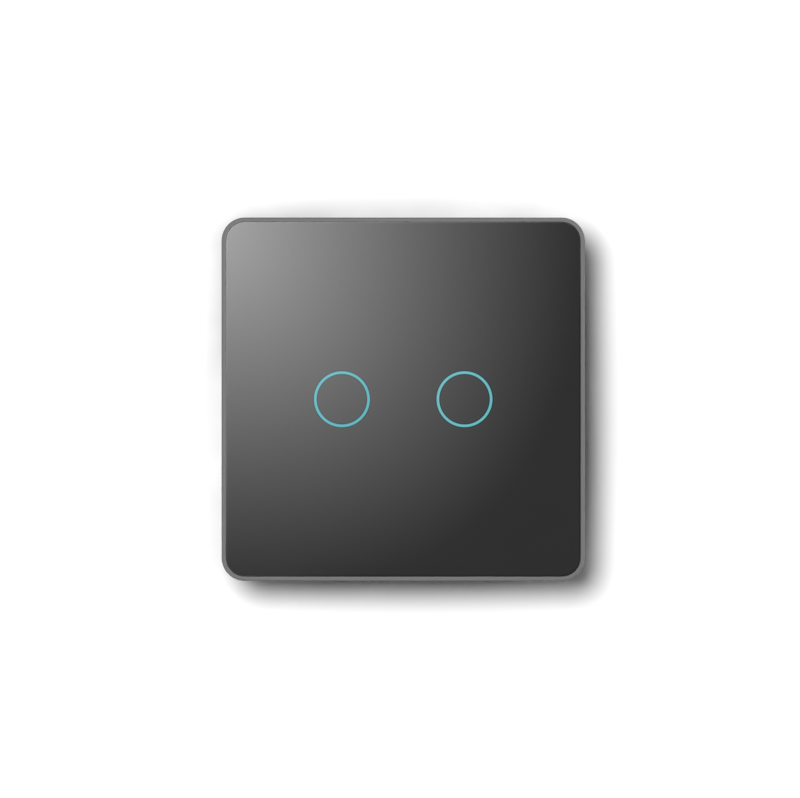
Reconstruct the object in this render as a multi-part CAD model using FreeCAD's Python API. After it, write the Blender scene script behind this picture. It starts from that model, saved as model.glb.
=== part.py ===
import FreeCAD
import Part
import math
import os

# Two-key touch scene switch for a square wall box. A glass front panel in a metal frame
# snaps over a steel mounting plate, whose moulded back box holds the mains side.
# X is to the right as seen from the room, Y goes into the wall and Z is up. Y = 0 is the
# wall surface, and the origin is midway between the two wall screws. Millimetres.

# Face, as seen from the room
face_width = 86.0
face_height = 86.0
face_corner = 5.5
face_depth = 11.0  # wall surface to the front of the glass
key_spacing = 29.0  # between the two key centres
ring_radius = 6.6  # outer edge of the lit ring
ring_line = 0.75  # width of the lit ring

# Metal frame
frame_wall = 1.0
frame_edge_bevel = 0.25
frame_lip_bevel = 0.12
frame_wall_gap = 0.5  # rear edge of the frame to the wall surface
ledge_width = 2.2
ledge_thickness = 1.6
pry_notch_width = 10.0
pry_notch_depth = 1.2

# Glass, its printed film and the adhesive behind it
glass_thickness = 2.8
glass_clearance = 0.1
glass_edge_bevel = 0.25
film_thickness = 0.1
tape_thickness = 0.3
tape_border = 6.0
tape_inset = 0.4
tape_band = 26.0  # height of the tape across both keys
window_clearance = 0.02

# Moulded carrier behind the glass
carrier_clearance = 0.2
carrier_floor = 1.5
carrier_flange = 1.3
carrier_border = 5.6
skirt_wall = 1.2
skirt_setback = 0.5  # skirt end to the frame's rear edge
rib_thickness = 1.0
rib_offset = 29.0
pocket_corner = 4.0
board_standoff = 2.1
board_rest_side = 4.0
board_rest_inset = 4.0
fence_height = 2.8
hook_spacing = 32.0
hook_width = 5.0
hook_wall = 1.1
hook_nose = 0.9
hook_catch = 0.8
board_clearance = 0.2
stop_side = 3.6
stop_inset = 8.5
stop_gap = 0.05

# Light rings, sensor pads in their sleeves, and lamps
guide_base_border = 1.5  # square base round the foot of the ring
guide_lamp_gap = 0.2
guide_clearance = 0.1
shield_wall = 1.2
shield_gap = 0.2
sleeve_width = 9.2  # across the flats of the eight-sided sleeve
sleeve_wall = 0.5
pad_side = 5.4
lamp_length = 1.6
lamp_width = 0.8
lamp_height = 0.8
lamps_per_key = 4

# Touch board and what it carries
touch_board_width = 47.0
touch_board_height = 64.0
touch_board_corner = 2.0
touch_board_thickness = 1.2
radio_width = 16.0
radio_height = 20.0
radio_board_thickness = 0.8
radio_can_height = 1.6
radio_can_border = 0.7
radio_can_share = 0.68  # of the module's height, below the bare antenna end
radio_can_bevel = 0.25
radio_x = -11.0
radio_z = 8.0
chip_length = 9.9
chip_width = 3.9
chip_height = 1.4
chip_x = 10.0
chip_z = 10.0
chip_legs = 4  # on each long side
chip_pitch = 2.2
chip_leg_width = 0.4
package_stand = 0.15  # body of a legged package to its board
leg_reach = 0.9
leg_height = 0.5
pin_pitch = 2.54
pin_count = 6
pin_side = 0.64
header_depth = 2.5
header_height = 1.5
connector_z = -12.0
socket_clearance = 0.08
socket_mouth_y = -0.2
pin_engagement = 3.0

# Retaining clips of spring strip
clip_strip = 0.4
clip_width = 5.0
clip_spacing = 48.0
clip_room = 1.6  # between the plate's tab and the carrier's skirt
clip_foot = 4.6
clip_catch = 0.45
clip_slope = 1.25  # along Y, each side of the catch
clip_lean = 0.35  # of the room, taken by the leaf at rest
clip_stake_setback = 1.2
clip_stake_side = 1.4
stake_clearance = 0.05

# Steel mounting plate
plate_thickness = 1.2
plate_bend = 0.4
plate_corner = 4.0
plate_opening_clearance = 0.3
tab_width = 10.0
tab_height = 4.2
tab_window_width = 6.4
tab_window_low = 1.5
tab_window_high = 3.3
side_flange_height = 3.2
side_flange_length = 44.0
wall_screw_spacing = 60.3
wall_slot_width = 4.2
wall_slot_length = 8.2

# Moulded back box
box_width = 50.0
box_height = 50.0
box_corner = 5.0
box_depth = 24.0  # wall surface to the rear face
box_wall = 1.6
box_rear_wall = 1.8
box_edge_bevel = 1.2
lip_side = 1.0  # overhang beside the wall screws
lip_end = 3.0  # overhang above and below
lip_thickness = 1.0
peg_spacing = 16.0
peg_length = 5.0
peg_width = 1.6
vent_count = 6
vent_width = 1.4
vent_length = 10.0
vent_pitch = 5.0
post_side = 6.4
post_inset = 4.7

# Inner cover, a shallow tray in the mouth of the back box
cover_clearance = 0.2
cover_floor = 1.2
cover_floor_y = 0.4
cover_rim = 1.0
cover_rim_front = -2.0
cover_boss_side = 5.2

# Power board and what it carries
power_board_thickness = 1.6
power_board_y = 4.4
power_board_clearance = 0.2
core_length = 17.0  # along X
core_width = 6.0  # along Y
core_height = 14.0  # along Z
core_leg = 2.8
core_stand = 3.0
winding_proud = 1.4
core_clearance = 0.1
bobbin_length = 14.0
bobbin_height = 16.0
transformer_x = -11.0
transformer_z = 3.0
bulk_radius = 5.0
bulk_height = 15.5
bulk_x = 7.5
bulk_z = 0.0
output_radius = 4.0
output_height = 12.5
output_x = 15.5
output_z = -10.0
filter_length = 18.0
filter_width = 6.0
filter_height = 12.0
filter_x = 0.5
filter_z = 16.0
filter_bevel = 0.6
choke_side = 8.0
choke_height = 7.0
choke_bevel = 0.8
choke_x = 17.5
choke_z = 5.5
varistor_radius = 4.2
varistor_thickness = 3.6
varistor_stand = 0.8
varistor_foot = 5.0
varistor_x = -15.5
varistor_z = -11.0
rectifier_length = 4.7
rectifier_width = 3.9
rectifier_height = 2.5
rectifier_leg_width = 0.6
rectifier_leg_spacing = 2.5
rectifier_x = 3.0
rectifier_z = 9.0
tail_clearance = 0.15

# Terminal block with rising clamps, one pole per wire
pole_count = 2
pole_pitch = 7.5
pole_end_wall = 0.5
terminal_depth = 10.3
terminal_clearance = 0.25
terminal_bay_wall = 1.2
entry_wall = 2.0
entry_radius = 1.9
cavity_width = 5.8
cavity_back_wall = 1.3
clamp_clearance = 0.2
clamp_wall = 0.8
clamp_plate = 1.2
clamp_bevel = 0.4
clamp_depth = 5.0
clamp_rest = 1.2  # clamp's near side to the board, when fully open
clamp_travel = 2.4
wire_room = 3.8  # open clamp to the fixed contact
contact_thickness = 1.0
contact_width = 3.4
contact_tail = 1.2
contact_tail_reach = 1.6
shoulder_thickness = 1.1
screw_radius = 1.5
screw_running = 0.05
screw_head_radius = 2.2
screw_head_height = 1.4
screw_head_setback = 0.6
screw_slot_width = 0.7
screw_slot_depth = 0.9
pole_groove = 0.5

# Box screws
box_screw_radius = 1.3
box_head_radius = 2.4
box_head_height = 1.7
thread_clearance = 0.02
shank_clearance = 0.2
head_clearance = 0.35
recess_width = 0.6
recess_depth = 0.6
recess_reach = 1.3  # as a share of the head's radius
box_screw_room = 1.0  # screw tip to the inner cover's floor

# Levels along Y, from the glass back to the touch board
y_front = -face_depth
y_glass_back = y_front + glass_thickness
y_film_back = y_glass_back + film_thickness
y_tape_back = y_film_back + tape_thickness
y_ledge_back = y_tape_back + ledge_thickness
y_flange_back = y_ledge_back + carrier_flange
y_floor_back = y_tape_back + carrier_floor
y_touch_front = y_floor_back + board_standoff
y_touch_back = y_touch_front + touch_board_thickness
y_frame_rear = -frame_wall_gap
y_skirt_end = y_frame_rear - skirt_setback
y_plate_front = -plate_thickness
y_lip_front = y_plate_front - lip_thickness

# Levels along Y in the back box
y_cover_back = cover_floor_y + cover_floor
y_power_front = power_board_y
y_power_back = y_power_front + power_board_thickness
y_box_inner = box_depth - box_rear_wall

# Levels in the terminal block, measured from the power board
contact_near = clamp_rest + clamp_plate + wire_room
contact_far = contact_near + contact_thickness
clamp_top_inner = contact_far + clamp_clearance + 0.1
clamp_top = clamp_top_inner + clamp_plate
cavity_top = clamp_top + clamp_travel + clamp_clearance + 0.2
head_seat = cavity_top + shoulder_thickness
terminal_height = head_seat + screw_running + screw_head_height + screw_head_setback
wire_level = clamp_rest + clamp_plate + wire_room / 2

# Outlines across Y
carrier_width = face_width - 2 * (frame_wall + carrier_clearance)
carrier_height = face_height - 2 * (frame_wall + carrier_clearance)
carrier_corner = face_corner - frame_wall - carrier_clearance
pocket_width = carrier_width - 2 * (frame_wall + ledge_width + carrier_border)
pocket_height = carrier_height - 2 * (frame_wall + ledge_width + carrier_border)
skirt_inner_x = carrier_width / 2 - skirt_wall
skirt_inner_z = carrier_height / 2 - skirt_wall
tab_outer_x = skirt_inner_x - clip_room
tab_outer_z = skirt_inner_z - clip_room
fold = plate_thickness + plate_bend
plate_half_x = tab_outer_x - fold
plate_half_z = tab_outer_z - fold
cavity_half_x = box_width / 2 - box_wall
cavity_half_z = box_height / 2 - box_wall
terminal_width = pole_count * pole_pitch + 2 * pole_end_wall
terminal_low_z = -box_height / 2
cavity_depth = terminal_depth - entry_wall - cavity_back_wall
screw_z = terminal_low_z + entry_wall + clamp_clearance + clamp_depth / 2
key_places = [-key_spacing / 2, key_spacing / 2]
pole_places = [(i - (pole_count - 1) / 2) * pole_pitch for i in range(pole_count)]


def vec(x, y, z):
    return FreeCAD.Vector(x, y, z)


def block(x0, x1, y0, y1, z0, z1):
    return Part.makeBox(x1 - x0, y1 - y0, z1 - z0, vec(x0, y0, z0))


def centred(width, height, y0, y1, x=0.0, z=0.0):
    return block(x - width / 2, x + width / 2, y0, y1, z - height / 2, z + height / 2)


def outline(width, height, corner, y, x=0.0, z=0.0):
    # A rectangle with round corners, in the plane at y.
    w = width / 2
    h = height / 2
    r = max(0.05, min(corner, w - 0.05, h - 0.05))
    k = r * (1 - math.sqrt(0.5))
    edges = []
    ring = [
        ((w - r, h), (w - k, h - k), (w, h - r)),
        ((w, r - h), (w - k, k - h), (w - r, -h)),
        ((r - w, -h), (k - w, k - h), (-w, r - h)),
        ((-w, h - r), (k - w, h - k), (r - w, h)),
    ]
    for i, (start, middle, end) in enumerate(ring):
        a, b, c = [vec(x + p[0], y, z + p[1]) for p in (start, middle, end)]
        nxt = ring[(i + 1) % 4][0]
        edges.append(Part.Arc(a, b, c).toShape())
        edges.append(Part.LineSegment(c, vec(x + nxt[0], y, z + nxt[1])).toShape())
    return Part.Wire(edges)


def slab(width, height, corner, y0, y1, x=0.0, z=0.0):
    face = Part.Face(outline(width, height, corner, y0, x, z))
    return face.extrude(vec(0, y1 - y0, 0))


def post(radius, y0, y1, x, z):
    return Part.makeCylinder(radius, y1 - y0, vec(x, y0, z), vec(0, 1, 0))


def prism(points, x0, x1):
    # A section of (z, y) points, drawn out along X.
    corners_at = [vec(x0, y, z) for z, y in points]
    face = Part.Face(Part.makePolygon(corners_at + corners_at[:1]))
    return face.extrude(vec(x1 - x0, 0, 0))


def slot(length, width, y0, y1, x, z):
    # A slot along X with round ends.
    return slab(length, width, width / 2 - 1e-4, y0, y1, x, z)


def bevelled_case(width, height, y0, y1, x, z, bevel):
    # A closed case on a board at y0, with its far rim bevelled.
    case = centred(width, height, y0, y1, x, z)
    rim = [e for e in case.Edges if e.BoundBox.YMin > y1 - 0.01]
    return case.makeChamfer(bevel, rim)


def clipped_board(width, height, corner, y0, y1):
    # A circuit board with its four corners cut off.
    w = width / 2
    h = height / 2
    points = [(w, corner - h), (w, h - corner), (w - corner, h), (corner - w, h)]
    points += [(-x, -z) for x, z in points]
    at = [vec(x, y0, z) for x, z in points]
    return Part.Face(Part.makePolygon(at + at[:1])).extrude(vec(0, y1 - y0, 0))


def legged_package(length, width, height, base, x, z, leg_width, leg_offsets):
    # A moulded package whose legs stand on the board along both long sides.
    low = base + package_stand
    parts = [centred(length, width, low, low + height, x, z)]
    for offset in leg_offsets:
        for side in (-1, 1):
            foot_z = z + side * (width + leg_reach) / 2
            parts.append(
                centred(leg_width, leg_reach + 0.2, base, base + leg_height, x + offset, foot_z)
            )
    return join(parts)


def join(shapes):
    shapes = list(shapes)
    whole = shapes[0].multiFuse(shapes[1:]) if len(shapes) > 1 else shapes[0]
    return whole.removeSplitter()


def cut(shape, tools):
    tools = list(tools)
    return shape.cut(tools).removeSplitter() if tools else shape


def corners(x, z):
    return [(sx * x, sz * z) for sx in (-1, 1) for sz in (-1, 1)]


def strip_section(points, thickness):
    # The outline of a bent strip whose middle line runs through (z, y) points.
    half = thickness / 2
    sides = ([], [])
    for i, (z, y) in enumerate(points):
        before = points[max(i - 1, 0)]
        after = points[min(i + 1, len(points) - 1)]
        turns = []
        for a, b in ((before, (z, y)), ((z, y), after)):
            run = math.hypot(b[0] - a[0], b[1] - a[1])
            if run > 0:
                turns.append((-(b[1] - a[1]) / run, (b[0] - a[0]) / run))
        nz = sum(t[0] for t in turns) / len(turns)
        ny = sum(t[1] for t in turns) / len(turns)
        reach = half / (nz * nz + ny * ny)
        sides[0].append((z + nz * reach, y + ny * reach))
        sides[1].append((z - nz * reach, y - ny * reach))
    return sides[0] + sides[1][::-1]


def cross_screw(x, z):
    # A box screw, driven from the rear. Its shank runs forward into the inner cover.
    seat = box_depth - box_head_height - head_clearance
    tip = cover_floor_y + box_screw_room
    head = post(box_head_radius, seat, seat + box_head_height, x, z)
    body = join([head, post(box_screw_radius, tip, seat + 0.1, x, z)])
    low = seat + box_head_height - recess_depth
    reach = recess_reach * box_head_radius
    bars = [
        centred(reach, recess_width, low, box_depth, x, z),
        centred(recess_width, reach, low, box_depth, x, z),
    ]
    return cut(body, bars)


def box_post_places():
    return corners(box_width / 2 - post_inset, box_height / 2 - post_inset)


def box_screw_places():
    # Two of the four posts, on a diagonal.
    return box_post_places()[1:3]


def peg_places():
    z = box_height / 2 + lip_end / 2
    return [(i * peg_spacing, side * z) for i in (-1, 0, 1) for side in (-1, 1)]


def clip_places():
    return [(side * clip_spacing / 2, edge) for edge in (1, -1) for side in (-1, 1)]


def pin_places():
    return [(i - (pin_count - 1) / 2) * pin_pitch for i in range(pin_count)]


# Front panel


def metal_frame():
    outer = slab(face_width, face_height, face_corner, y_front, y_frame_rear)
    rim = [e for e in outer.Edges if e.BoundBox.YMax < y_front + 0.01]
    outer = outer.makeChamfer(frame_edge_bevel, rim)
    inner_width = face_width - 2 * frame_wall
    inner_height = face_height - 2 * frame_wall
    inner_corner = face_corner - frame_wall
    glass_pocket = slab(inner_width, inner_height, inner_corner, y_front - 1, y_tape_back)
    bevel = Part.makeLoft(
        [
            outline(
                inner_width + 2 * frame_lip_bevel,
                inner_height + 2 * frame_lip_bevel,
                inner_corner + frame_lip_bevel,
                y_front,
            ),
            outline(inner_width, inner_height, inner_corner, y_front + frame_lip_bevel),
        ],
        True,
        True,
    )
    rear_pocket = slab(inner_width, inner_height, inner_corner, y_ledge_back, 0)
    opening = slab(
        inner_width - 2 * ledge_width,
        inner_height - 2 * ledge_width,
        inner_corner,
        y_front,
        0,
    )
    notch = block(
        -pry_notch_width / 2,
        pry_notch_width / 2,
        y_frame_rear - pry_notch_depth,
        0,
        -face_height / 2 - 1,
        -face_height / 2 + frame_wall + 0.1,
    )
    return cut(outer, [glass_pocket, bevel, rear_pocket, opening, notch])


def glass_size():
    gap = frame_wall + glass_clearance
    return face_width - 2 * gap, face_height - 2 * gap, face_corner - gap


def glass_panel():
    width, height, corner = glass_size()
    plate = slab(width, height, corner, y_front, y_glass_back)
    edges = [e for e in plate.Edges if e.BoundBox.YMax < y_front + 0.01]
    return plate.makeChamfer(glass_edge_bevel, edges)


def printed_film():
    # Black film with a clear ring at each key, so the middle of each ring is a disc apart.
    width, height, corner = glass_size()
    film = slab(width, height, corner, y_glass_back, y_film_back)
    for x in key_places:
        inner = ring_radius - ring_line - window_clearance
        window = post(ring_radius + window_clearance, y_glass_back, y_film_back, x, 0)
        film = film.cut(window.cut(post(inner, y_glass_back, y_film_back, x, 0)))
    return film


def adhesive_tape():
    width, height, corner = glass_size()
    sheet_width = width - 2 * tape_inset
    sheet_height = height - 2 * tape_inset
    sheet = slab(sheet_width, sheet_height, corner, y_film_back, y_tape_back)
    gap_height = (sheet_height - 2 * tape_border - tape_band) / 2
    gap_z = tape_band / 2 + gap_height / 2
    gap_width = sheet_width - 2 * tape_border
    gaps = [
        centred(gap_width, gap_height, y_film_back - 1, y_tape_back + 1, 0, side * gap_z)
        for side in (-1, 1)
    ]
    side = 2 * (ring_radius + guide_clearance)
    keys = [centred(side, side, y_film_back - 1, y_tape_back + 1, x) for x in key_places]
    return cut(sheet, gaps + keys)


def front_carrier():
    opening_width = face_width - 2 * (frame_wall + ledge_width + carrier_clearance)
    opening_height = face_height - 2 * (frame_wall + ledge_width + carrier_clearance)
    platform = slab(
        opening_width,
        opening_height,
        face_corner - frame_wall,
        y_tape_back,
        y_ledge_back + 0.01,
    )
    flange = slab(carrier_width, carrier_height, carrier_corner, y_ledge_back, y_flange_back)
    skirt = cut(
        slab(carrier_width, carrier_height, carrier_corner, y_flange_back, y_skirt_end),
        [
            slab(
                2 * skirt_inner_x,
                2 * skirt_inner_z,
                carrier_corner - skirt_wall,
                y_flange_back - 1,
                0,
            )
        ],
    )
    pocket = slab(pocket_width, pocket_height, pocket_corner, y_floor_back, 0)
    shell = cut(join([platform, flange, skirt]), [pocket])

    rib_ends_x = pocket_width + 1
    rib_ends_z = pocket_height + 1
    added = []
    for side in (-1, 1):
        added.append(
            centred(rib_thickness, rib_ends_z, y_floor_back, y_flange_back, side * rib_offset)
        )
        added.append(
            centred(rib_ends_x, rib_thickness, y_floor_back, y_flange_back, 0, side * rib_offset / 2)
        )
    shield_side = guide_base_side() + 2 * (guide_clearance + shield_wall)
    for x in key_places:
        added.append(centred(shield_side, shield_side, y_floor_back, y_touch_front - shield_gap, x))
    added += board_rests() + board_hooks()
    for x, z in corners(face_width / 2 - stop_inset, face_height / 2 - stop_inset):
        stop_end = y_plate_front - stop_gap
        added.append(centred(stop_side, stop_side, y_flange_back - 0.5, stop_end, x, z))
    for x, side in clip_places():
        stake_end = y_flange_back + 2 * clip_strip
        z = side * clip_stake_z()
        added.append(centred(clip_stake_side, clip_stake_side, y_flange_back - 0.1, stake_end, x, z))
    body = join([shell] + added)

    tools = []
    seat = guide_base_side() + 2 * guide_clearance
    for x in key_places:
        tools.append(post(ring_radius + guide_clearance, y_front, 0, x, 0))
        tools.append(centred(seat, seat, y_floor_back, 0, x))
    notch_half = pry_notch_width / 2
    tools.append(
        block(
            -notch_half,
            notch_half,
            y_skirt_end - pry_notch_depth,
            0,
            -carrier_height / 2 - 1,
            -skirt_inner_z + 0.1,
        )
    )
    return cut(body, tools)


def board_rests():
    # At each corner, a rest under the touch board and a fence beside it.
    edge = touch_board_width / 2
    fence_near = edge + board_clearance
    fence_far = fence_near + hook_wall
    z = touch_board_height / 2 - board_rest_inset
    half = board_rest_side / 2
    pieces = []
    for side in (-1, 1):
        for up in (-1, 1):
            z0 = up * z - half
            z1 = up * z + half
            x0, x1 = sorted((side * (edge - board_rest_side), side * fence_far))
            pieces.append(block(x0, x1, y_floor_back, y_touch_front, z0, z1))
            x0, x1 = sorted((side * fence_near, side * fence_far))
            pieces.append(block(x0, x1, y_floor_back, y_floor_back + fence_height, z0, z1))
    return pieces


def board_hooks():
    # Snap hooks over the top and bottom edges of the touch board.
    near = touch_board_height / 2 + board_clearance
    under = y_touch_back + board_clearance / 2
    section = [
        (near, y_floor_back),
        (near, under),
        (near - hook_nose, under),
        (near, under + hook_catch),
        (near + hook_wall, under + hook_catch),
        (near + hook_wall, y_floor_back),
    ]
    hooks = []
    for x in (-hook_spacing / 2, hook_spacing / 2):
        hook = prism(section, x - hook_width / 2, x + hook_width / 2)
        hooks += [hook, hook.mirror(vec(0, 0, 0), vec(0, 0, 1))]
    return hooks


def guide_base_side():
    return 2 * (ring_radius + guide_base_border)


def light_ring(x):
    # The ring stands on a square base that drops into its seat in the carrier.
    base_end = y_touch_front - lamp_height - guide_lamp_gap
    side = guide_base_side()
    base = centred(side, side, y_floor_back, base_end, x)
    body = join([base, post(ring_radius, y_glass_back, y_floor_back + 0.1, x, 0)])
    return cut(body, [post(ring_radius - ring_line, y_front, 0, x, 0)])


def octagon(width, y0, y1, x):
    points = []
    for i in range(8):
        turn = math.pi * (2 * i + 1) / 8
        reach = width / 2 / math.cos(math.pi / 8)
        points.append(vec(x + reach * math.cos(turn), y0, reach * math.sin(turn)))
    face = Part.Face(Part.makePolygon(points + points[:1]))
    return face.extrude(vec(0, y1 - y0, 0))


def pad_sleeve(x):
    # A black eight-sided sleeve that keeps the ring's light away from the middle of the key.
    tube = octagon(sleeve_width, y_tape_back, y_touch_front, x)
    bore = octagon(sleeve_width - 2 * sleeve_wall, y_tape_back - 1, y_touch_front + 1, x)
    return cut(tube, [bore])


def sensor_pad(x):
    # Conductive foam block between the touch board and the back of the film.
    return centred(pad_side, pad_side, y_film_back, y_touch_front, x)


def lamps(x):
    middle = ring_radius - ring_line / 2
    pieces = []
    for i in range(lamps_per_key):
        lamp = centred(lamp_length, lamp_width, y_touch_front - lamp_height, y_touch_front, 0, middle)
        lamp.rotate(vec(0, 0, 0), vec(0, 1, 0), 360 * (i + 0.5) / lamps_per_key)
        lamp.translate(vec(x, 0, 0))
        pieces.append(lamp)
    return Part.makeCompound(pieces)


def touch_board():
    return clipped_board(
        touch_board_width, touch_board_height, touch_board_corner, y_touch_front, y_touch_back
    )


def radio_module():
    # Daughter board with a pressed shield can, and the bare antenna end at the top.
    top = y_touch_back + radio_board_thickness
    board = centred(radio_width, radio_height, y_touch_back, top, radio_x, radio_z)
    can_width = radio_width - 2 * radio_can_border
    can_height = radio_height * radio_can_share
    can_z = radio_z - (radio_height - can_height) / 2 + radio_can_border
    can_top = top + radio_can_height
    can = bevelled_case(can_width, can_height, top - 0.1, can_top, radio_x, can_z, radio_can_bevel)
    return join([board, can])


def touch_chip():
    offsets = [(i - (chip_legs - 1) / 2) * chip_pitch for i in range(chip_legs)]
    size = (chip_length, chip_width, chip_height)
    return legged_package(*size, y_touch_back, chip_x, chip_z, chip_leg_width, offsets)


def board_header():
    span = pin_count * pin_pitch
    base_end = y_touch_back + header_height
    base = centred(span, header_depth, y_touch_back, base_end, 0, connector_z)
    tip = socket_mouth_y + pin_engagement
    pins = [
        centred(pin_side, pin_side, base_end - 0.1, tip, x, connector_z) for x in pin_places()
    ]
    return join([base] + pins)


def clip_stake_z():
    return tab_outer_z - plate_thickness - clip_stake_setback


def retaining_clips():
    # Sprung strips that snap into the windows of the plate's tabs.
    leaf = skirt_inner_z - clip_room * clip_lean
    catch = tab_outer_z - clip_catch + clip_strip / 2
    foot_y = y_flange_back + clip_strip / 2
    middle = -(tab_window_low + tab_window_high) / 2
    section = strip_section(
        [
            (leaf - clip_foot, foot_y),
            (leaf, foot_y),
            (leaf, middle - clip_slope),
            (catch, middle),
            (leaf, middle + clip_slope),
        ],
        clip_strip,
    )
    hole = clip_stake_side + 2 * stake_clearance
    clips = []
    for x, side in clip_places():
        clip = prism(section, x - clip_width / 2, x + clip_width / 2)
        clip = cut(clip, [centred(hole, hole, y_flange_back - 1, 0, x, clip_stake_z())])
        if side < 0:
            clip = clip.mirror(vec(0, 0, 0), vec(0, 0, 1))
        clips.append(clip)
    return Part.makeCompound(clips)


# Base


def folded_edge(length, height):
    # An L of sheet, folded forward. It starts at Z = 0 in the plate and stands at Z = fold.
    bend = fold * math.sqrt(0.5)
    outer_arc = Part.Arc(vec(0, 0, 0), vec(0, bend - fold, bend), vec(0, -fold, fold))
    rest = [
        vec(0, -fold, fold),
        vec(0, -height, fold),
        vec(0, -height, plate_bend),
        vec(0, -fold, plate_bend),
        vec(0, y_plate_front, 0),
        vec(0, 0, 0),
    ]
    lines = [Part.LineSegment(a, b).toShape() for a, b in zip(rest, rest[1:])]
    section = Part.Face(Part.Wire([outer_arc.toShape()] + lines))
    section.translate(vec(-length / 2, 0, 0))
    return section.extrude(vec(length, 0, 0))


def mounting_plate():
    plate = slab(2 * plate_half_x, 2 * plate_half_z, plate_corner, y_plate_front, 0)
    parts = [plate]
    for x, side in clip_places():
        tab = folded_edge(tab_width, tab_height)
        window = block(
            -tab_window_width / 2,
            tab_window_width / 2,
            -tab_window_high,
            -tab_window_low,
            0,
            fold + 1,
        )
        tab = tab.cut(window)
        tab.translate(vec(x, 0, plate_half_z))
        if side < 0:
            tab = tab.mirror(vec(0, 0, 0), vec(0, 0, 1))
        parts.append(tab)
    for side in (-1, 1):
        flange = folded_edge(side_flange_length, side_flange_height)
        flange.translate(vec(0, 0, plate_half_x))
        flange.rotate(vec(0, 0, 0), vec(0, 1, 0), 90 * side)
        parts.append(flange)
    body = join(parts)
    opening = slab(
        box_width + 2 * plate_opening_clearance,
        box_height + 2 * plate_opening_clearance,
        box_corner + plate_opening_clearance,
        y_plate_front - 1,
        1,
    )
    tools = [opening]
    for side in (-1, 1):
        x = side * wall_screw_spacing / 2
        tools.append(slot(wall_slot_length, wall_slot_width, y_plate_front - 1, 1, x, 0))
    length = peg_length + 2 * stake_clearance
    width = peg_width + 2 * stake_clearance
    tools += [centred(length, width, y_plate_front - 1, 1, x, z) for x, z in peg_places()]
    return cut(body, tools)


def back_box():
    shell = slab(box_width, box_height, box_corner, y_plate_front, box_depth)
    rear_edges = [e for e in shell.Edges if e.BoundBox.YMin > box_depth - 0.01]
    shell = shell.makeChamfer(box_edge_bevel, rear_edges)
    lip = slab(
        box_width + 2 * lip_side,
        box_height + 2 * lip_end,
        box_corner + lip_side,
        y_lip_front,
        y_plate_front,
    )
    # Pegs of the lip, melted flush into their holes in the plate
    pegs = [
        centred(peg_length, peg_width, y_plate_front - 0.1, -stake_clearance, x, z)
        for x, z in peg_places()
    ]
    mouth = slab(
        2 * cavity_half_x,
        2 * cavity_half_z,
        box_corner - box_wall,
        y_lip_front - 1,
        y_box_inner,
    )
    body = cut(join([shell, lip] + pegs), [mouth])

    bay_half = terminal_width / 2 + terminal_clearance
    bay_top = terminal_low_z + terminal_depth + terminal_clearance
    partition = block(
        -bay_half - terminal_bay_wall,
        bay_half + terminal_bay_wall,
        y_power_back + terminal_clearance,
        y_box_inner + 0.01,
        -cavity_half_z - 0.01,
        bay_top + terminal_bay_wall,
    )
    inside = slab(
        2 * cavity_half_x + 0.02,
        2 * cavity_half_z + 0.02,
        box_corner - box_wall,
        y_power_back,
        y_box_inner + 0.01,
    )
    posts = [
        centred(post_side, post_side, y_power_back, y_box_inner + 0.01, x, z).common(inside)
        for x, z in box_post_places()
    ]
    body = join([body, partition] + posts)

    bay = block(-bay_half, bay_half, y_power_back, box_depth + 1, -box_height, bay_top)
    tools = [bay]
    sink = box_depth - box_head_height - head_clearance
    for x, z in box_screw_places():
        tools.append(post(box_screw_radius + shank_clearance, 0, box_depth + 1, x, z))
        tools.append(post(box_head_radius + head_clearance, sink, box_depth + 1, x, z))
    vent_middle = (y_power_back + y_box_inner) / 2
    for i in range(vent_count):
        x = (i - (vent_count - 1) / 2) * vent_pitch
        tools.append(
            block(
                x - vent_width / 2,
                x + vent_width / 2,
                vent_middle - vent_length / 2,
                vent_middle + vent_length / 2,
                cavity_half_z - 0.5,
                box_height,
            )
        )
    return cut(body, tools)


def inner_cover():
    width = 2 * (cavity_half_x - cover_clearance)
    height = 2 * (cavity_half_z - cover_clearance)
    corner = box_corner - box_wall - cover_clearance
    tray = slab(width, height, corner, cover_rim_front, y_cover_back)
    dish = slab(
        width - 2 * cover_rim,
        height - 2 * cover_rim,
        corner - cover_rim,
        cover_rim_front - 1,
        cover_floor_y,
    )
    side = cover_boss_side
    within = slab(width, height, corner, y_cover_back - 0.1, y_power_front)
    bosses = [
        centred(side, side, y_cover_back - 0.1, y_power_front, x, z).common(within)
        for x, z in box_post_places()
    ]
    body = join([cut(tray, [dish])] + bosses)
    pilot = box_screw_radius + thread_clearance
    deep = cover_floor_y + box_screw_room / 2
    holes = [post(pilot, deep, y_power_front + 1, x, z) for x, z in box_screw_places()]
    span = pin_count * pin_pitch + 2 * cover_clearance
    window = centred(
        span,
        header_depth + 2 * cover_clearance,
        cover_rim_front - 1,
        y_power_front,
        0,
        connector_z,
    )
    return cut(body, holes + [window])


def tail_z():
    return terminal_low_z + terminal_depth - cavity_back_wall - contact_thickness


def power_board():
    width = 2 * (cavity_half_x - power_board_clearance)
    height = 2 * (cavity_half_z - power_board_clearance)
    board = clipped_board(width, height, box_corner - box_wall, y_power_front, y_power_back)
    shank = box_screw_radius + shank_clearance
    tools = [post(shank, 0, box_depth, x, z) for x, z in box_screw_places()]
    tail = contact_tail + 2 * tail_clearance
    thick = contact_thickness + 2 * tail_clearance
    tools += [centred(tail, thick, 0, box_depth, x, tail_z()) for x in pole_places]
    return cut(board, tools)


def core_base():
    return y_power_back + core_stand


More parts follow.
